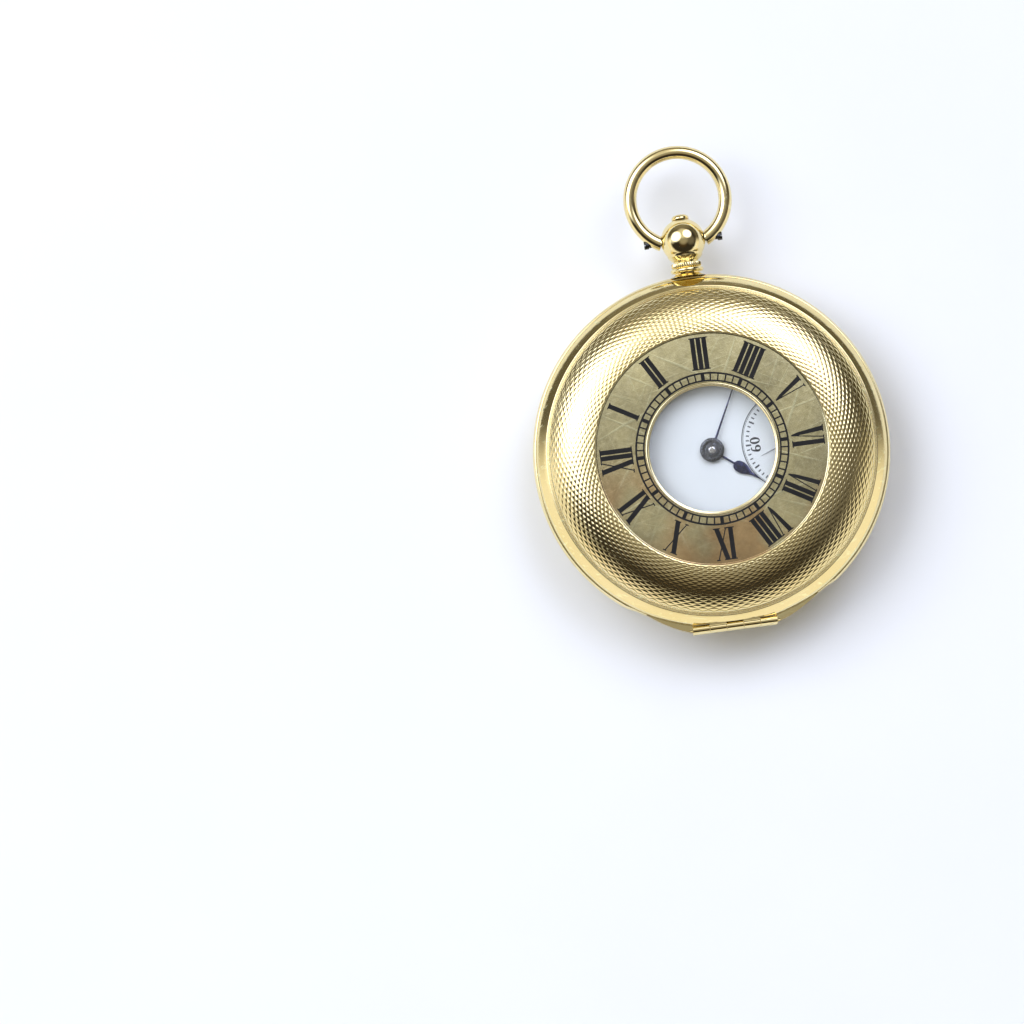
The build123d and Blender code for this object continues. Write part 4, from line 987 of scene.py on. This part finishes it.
# ------------------------------------------------------------------ floor (metres from here on)
def floor_white():
    """Near white; seen from below it is clear, so that the back can be looked at."""
    material, tree, shader, output = new_material("floor_white")
    wire(tree, shader, {
        "Base Color": ramp(tree, noise(tree, coords(tree), 30.0),
                           [(0.3, (0.835, 0.85, 0.862)), (0.7, (0.85, 0.865, 0.877))]),
        "Roughness": 0.75,
        "Specular IOR Level": 0.2})
    below = node(tree, "NewGeometry").outputs["Backfacing"]
    mix_shader(tree, below, shader, node(tree, "BsdfTransparent"), output)
    return material


FLOOR_HALF, FLOOR_Z = 1.2, -0.00002
floor_material = floor_white()
floor_mesh = bpy.data.meshes.new("floor")
floor_mesh.from_pydata([(x * FLOOR_HALF, y * FLOOR_HALF, FLOOR_Z) for x, y in
                        ((-1, -1), (1, -1), (1, 1), (-1, 1))], [], [[0, 1, 2, 3]])
floor = add_object("floor", floor_mesh)
floor_mesh.materials.append(floor_material)

# ------------------------------------------------------------------ lights
# The view's up and right on the table: the pendant leans 7.6 degrees to the left of up.
LEAN = math.radians(7.6)
UP = Vector((math.sin(LEAN), math.cos(LEAN), 0))
RIGHT = Vector((math.cos(LEAN), -math.sin(LEAN), 0))
LIGHT_TARGET = Vector((0, 0, 0.006))


def toward(azimuth, elevation, distance=1.0):
    """By azimuth in the view (0 right, 90 down, 270 up) and elevation above the table."""
    a, e = math.radians(azimuth), math.radians(elevation)
    flat = RIGHT * math.cos(a) - UP * math.sin(a)
    return (flat * math.cos(e) + Vector((0, 0, 1)) * math.sin(e)) * distance


# name, azimuth, elevation, distance, width, height, power, colour
AREA_LIGHTS = [
    ("key", 215, 50, 0.55, 0.36, 0.34, 0.60, (1.0, 1.0, 1.0)),
    ("fill", 300, 58, 0.8, 0.5, 0.5, 0.38, (0.98, 0.99, 1.0)),
    ("low", 150, 58, 0.8, 0.5, 0.5, 0.85, (1.0, 1.0, 1.0)),
]
for name, azimuth, elevation, distance, width, height, power, colour in AREA_LIGHTS:
    light = bpy.data.lights.new(name, "AREA")
    light.shape = "RECTANGLE"
    light.size, light.size_y = width, height
    light.energy = power
    light.color = colour
    lamp = add_object(name, light)
    lamp.location = LIGHT_TARGET + toward(azimuth, elevation, distance)
    lamp.rotation_euler = (LIGHT_TARGET - lamp.location).to_track_quat("-Z", "Y").to_euler()
    lamp.visible_glossy = False

# ------------------------------------------------------------------ world
BASE_GLOW = (0.034, 0.030, 0.025)
# Soft round glows: azimuth, elevation, full radius, outer radius (degrees), colour
GLOWS = [
    (0, 90, 9, 30, (0.305, 0.305, 0.29)),
    (262, 24, 10, 40, (0.12, 0.11, 0.09)),
    (262, 54, 8, 34, (0.66, 0.65, 0.62)),
    (205, 48, 12, 30, (2.9, 3.1, 3.7)),
    (301, 51, 9, 25, (3.1, 3.3, 4.1)),
    (182, 30, 6, 22, (0.7, 0.7, 0.72)),
    (0, 50, 6, 28, (0.13, 0.125, 0.12)),
    (90, 72, 4, 26, (0.04, 0.02, 0.0)),
]


def studio_world():
    world = bpy.data.worlds.new("studio")
    bpy.context.scene.world = world
    world.use_nodes = True
    tree = world.node_tree
    tree.nodes.clear()
    ray = node(tree, "TexCoord").outputs["Generated"]

    def fade(direction, start, end):
        """0 to 1 as the ray's cosine to a direction goes from start to end."""
        cosine = node(tree, "VectorMath", {0: ray, 1: direction}, operation="DOT_PRODUCT")
        return remap(tree, cosine.outputs["Value"], (start, end),
                     interpolation_type="SMOOTHSTEP")

    def coloured(strength, colour):
        parts = {i: calc(tree, "MULTIPLY", strength, c) for i, c in enumerate(colour)}
        return node(tree, "CombineXYZ", parts).outputs[0]

    terms = []
    for azimuth, elevation, full, outer, colour in GLOWS:
        edge, core = math.cos(math.radians(outer)), math.cos(math.radians(full))
        terms.append(coloured(fade(toward(azimuth, elevation), edge, core), colour))
    # a bright low band towards the view's bottom, and a faint one all round
    low = fade((0, 0, 1), 0.41, 0.27)
    bottom = fade(-UP, -0.30, 0.14)
    terms.append(coloured(calc(tree, "MULTIPLY", low, bottom), (0.92, 0.90, 0.86)))
    terms.append(coloured(fade((0, 0, 1), 0.50, 0.20), (0.10, 0.095, 0.08)))
    total = node(tree, "CombineXYZ", dict(enumerate(BASE_GLOW))).outputs[0]
    for term in terms:
        total = node(tree, "VectorMath", {0: total, 1: term}, operation="ADD").outputs[0]
    background = node(tree, "Background", {"Color": total, "Strength": 1.0})
    node(tree, "OutputWorld", {0: background.outputs[0]})


studio_world()
bpy.context.scene.view_settings.view_transform = "Standard"

# ------------------------------------------------------------------ camera
# 4.5 degrees off straight down, from the view's bottom; the watch is right of and above centre.
ELEVATION = math.radians(85.5)
DISTANCE, VIEW_WIDTH, SENSOR_WIDTH = 1.40, 0.1438, 36.0
WATCH = Vector((0, 0, 0.0132))
WATCH_RIGHT, WATCH_UP = 0.02815615234, 0.00890324219   # its place in the view

camera_data = bpy.data.cameras.new("camera")
camera = add_object("camera", camera_data)
camera_data.sensor_width = SENSOR_WIDTH
camera_data.sensor_fit = "HORIZONTAL"
camera_data.lens = SENSOR_WIDTH * DISTANCE / VIEW_WIDTH
camera_data.clip_start = 0.01
back = (-UP * math.cos(ELEVATION) + Vector((0, 0, 1)) * math.sin(ELEVATION)).normalized()
view_centre = WATCH - RIGHT * WATCH_RIGHT - UP * (WATCH_UP / math.sin(ELEVATION))
camera.location = view_centre + back * DISTANCE
view_up = (UP - back * UP.dot(back)).normalized()
view_right = view_up.cross(back).normalized()
camera.rotation_euler = Matrix((view_right, view_up, back)).transposed().to_euler()
bpy.context.scene.camera = camera
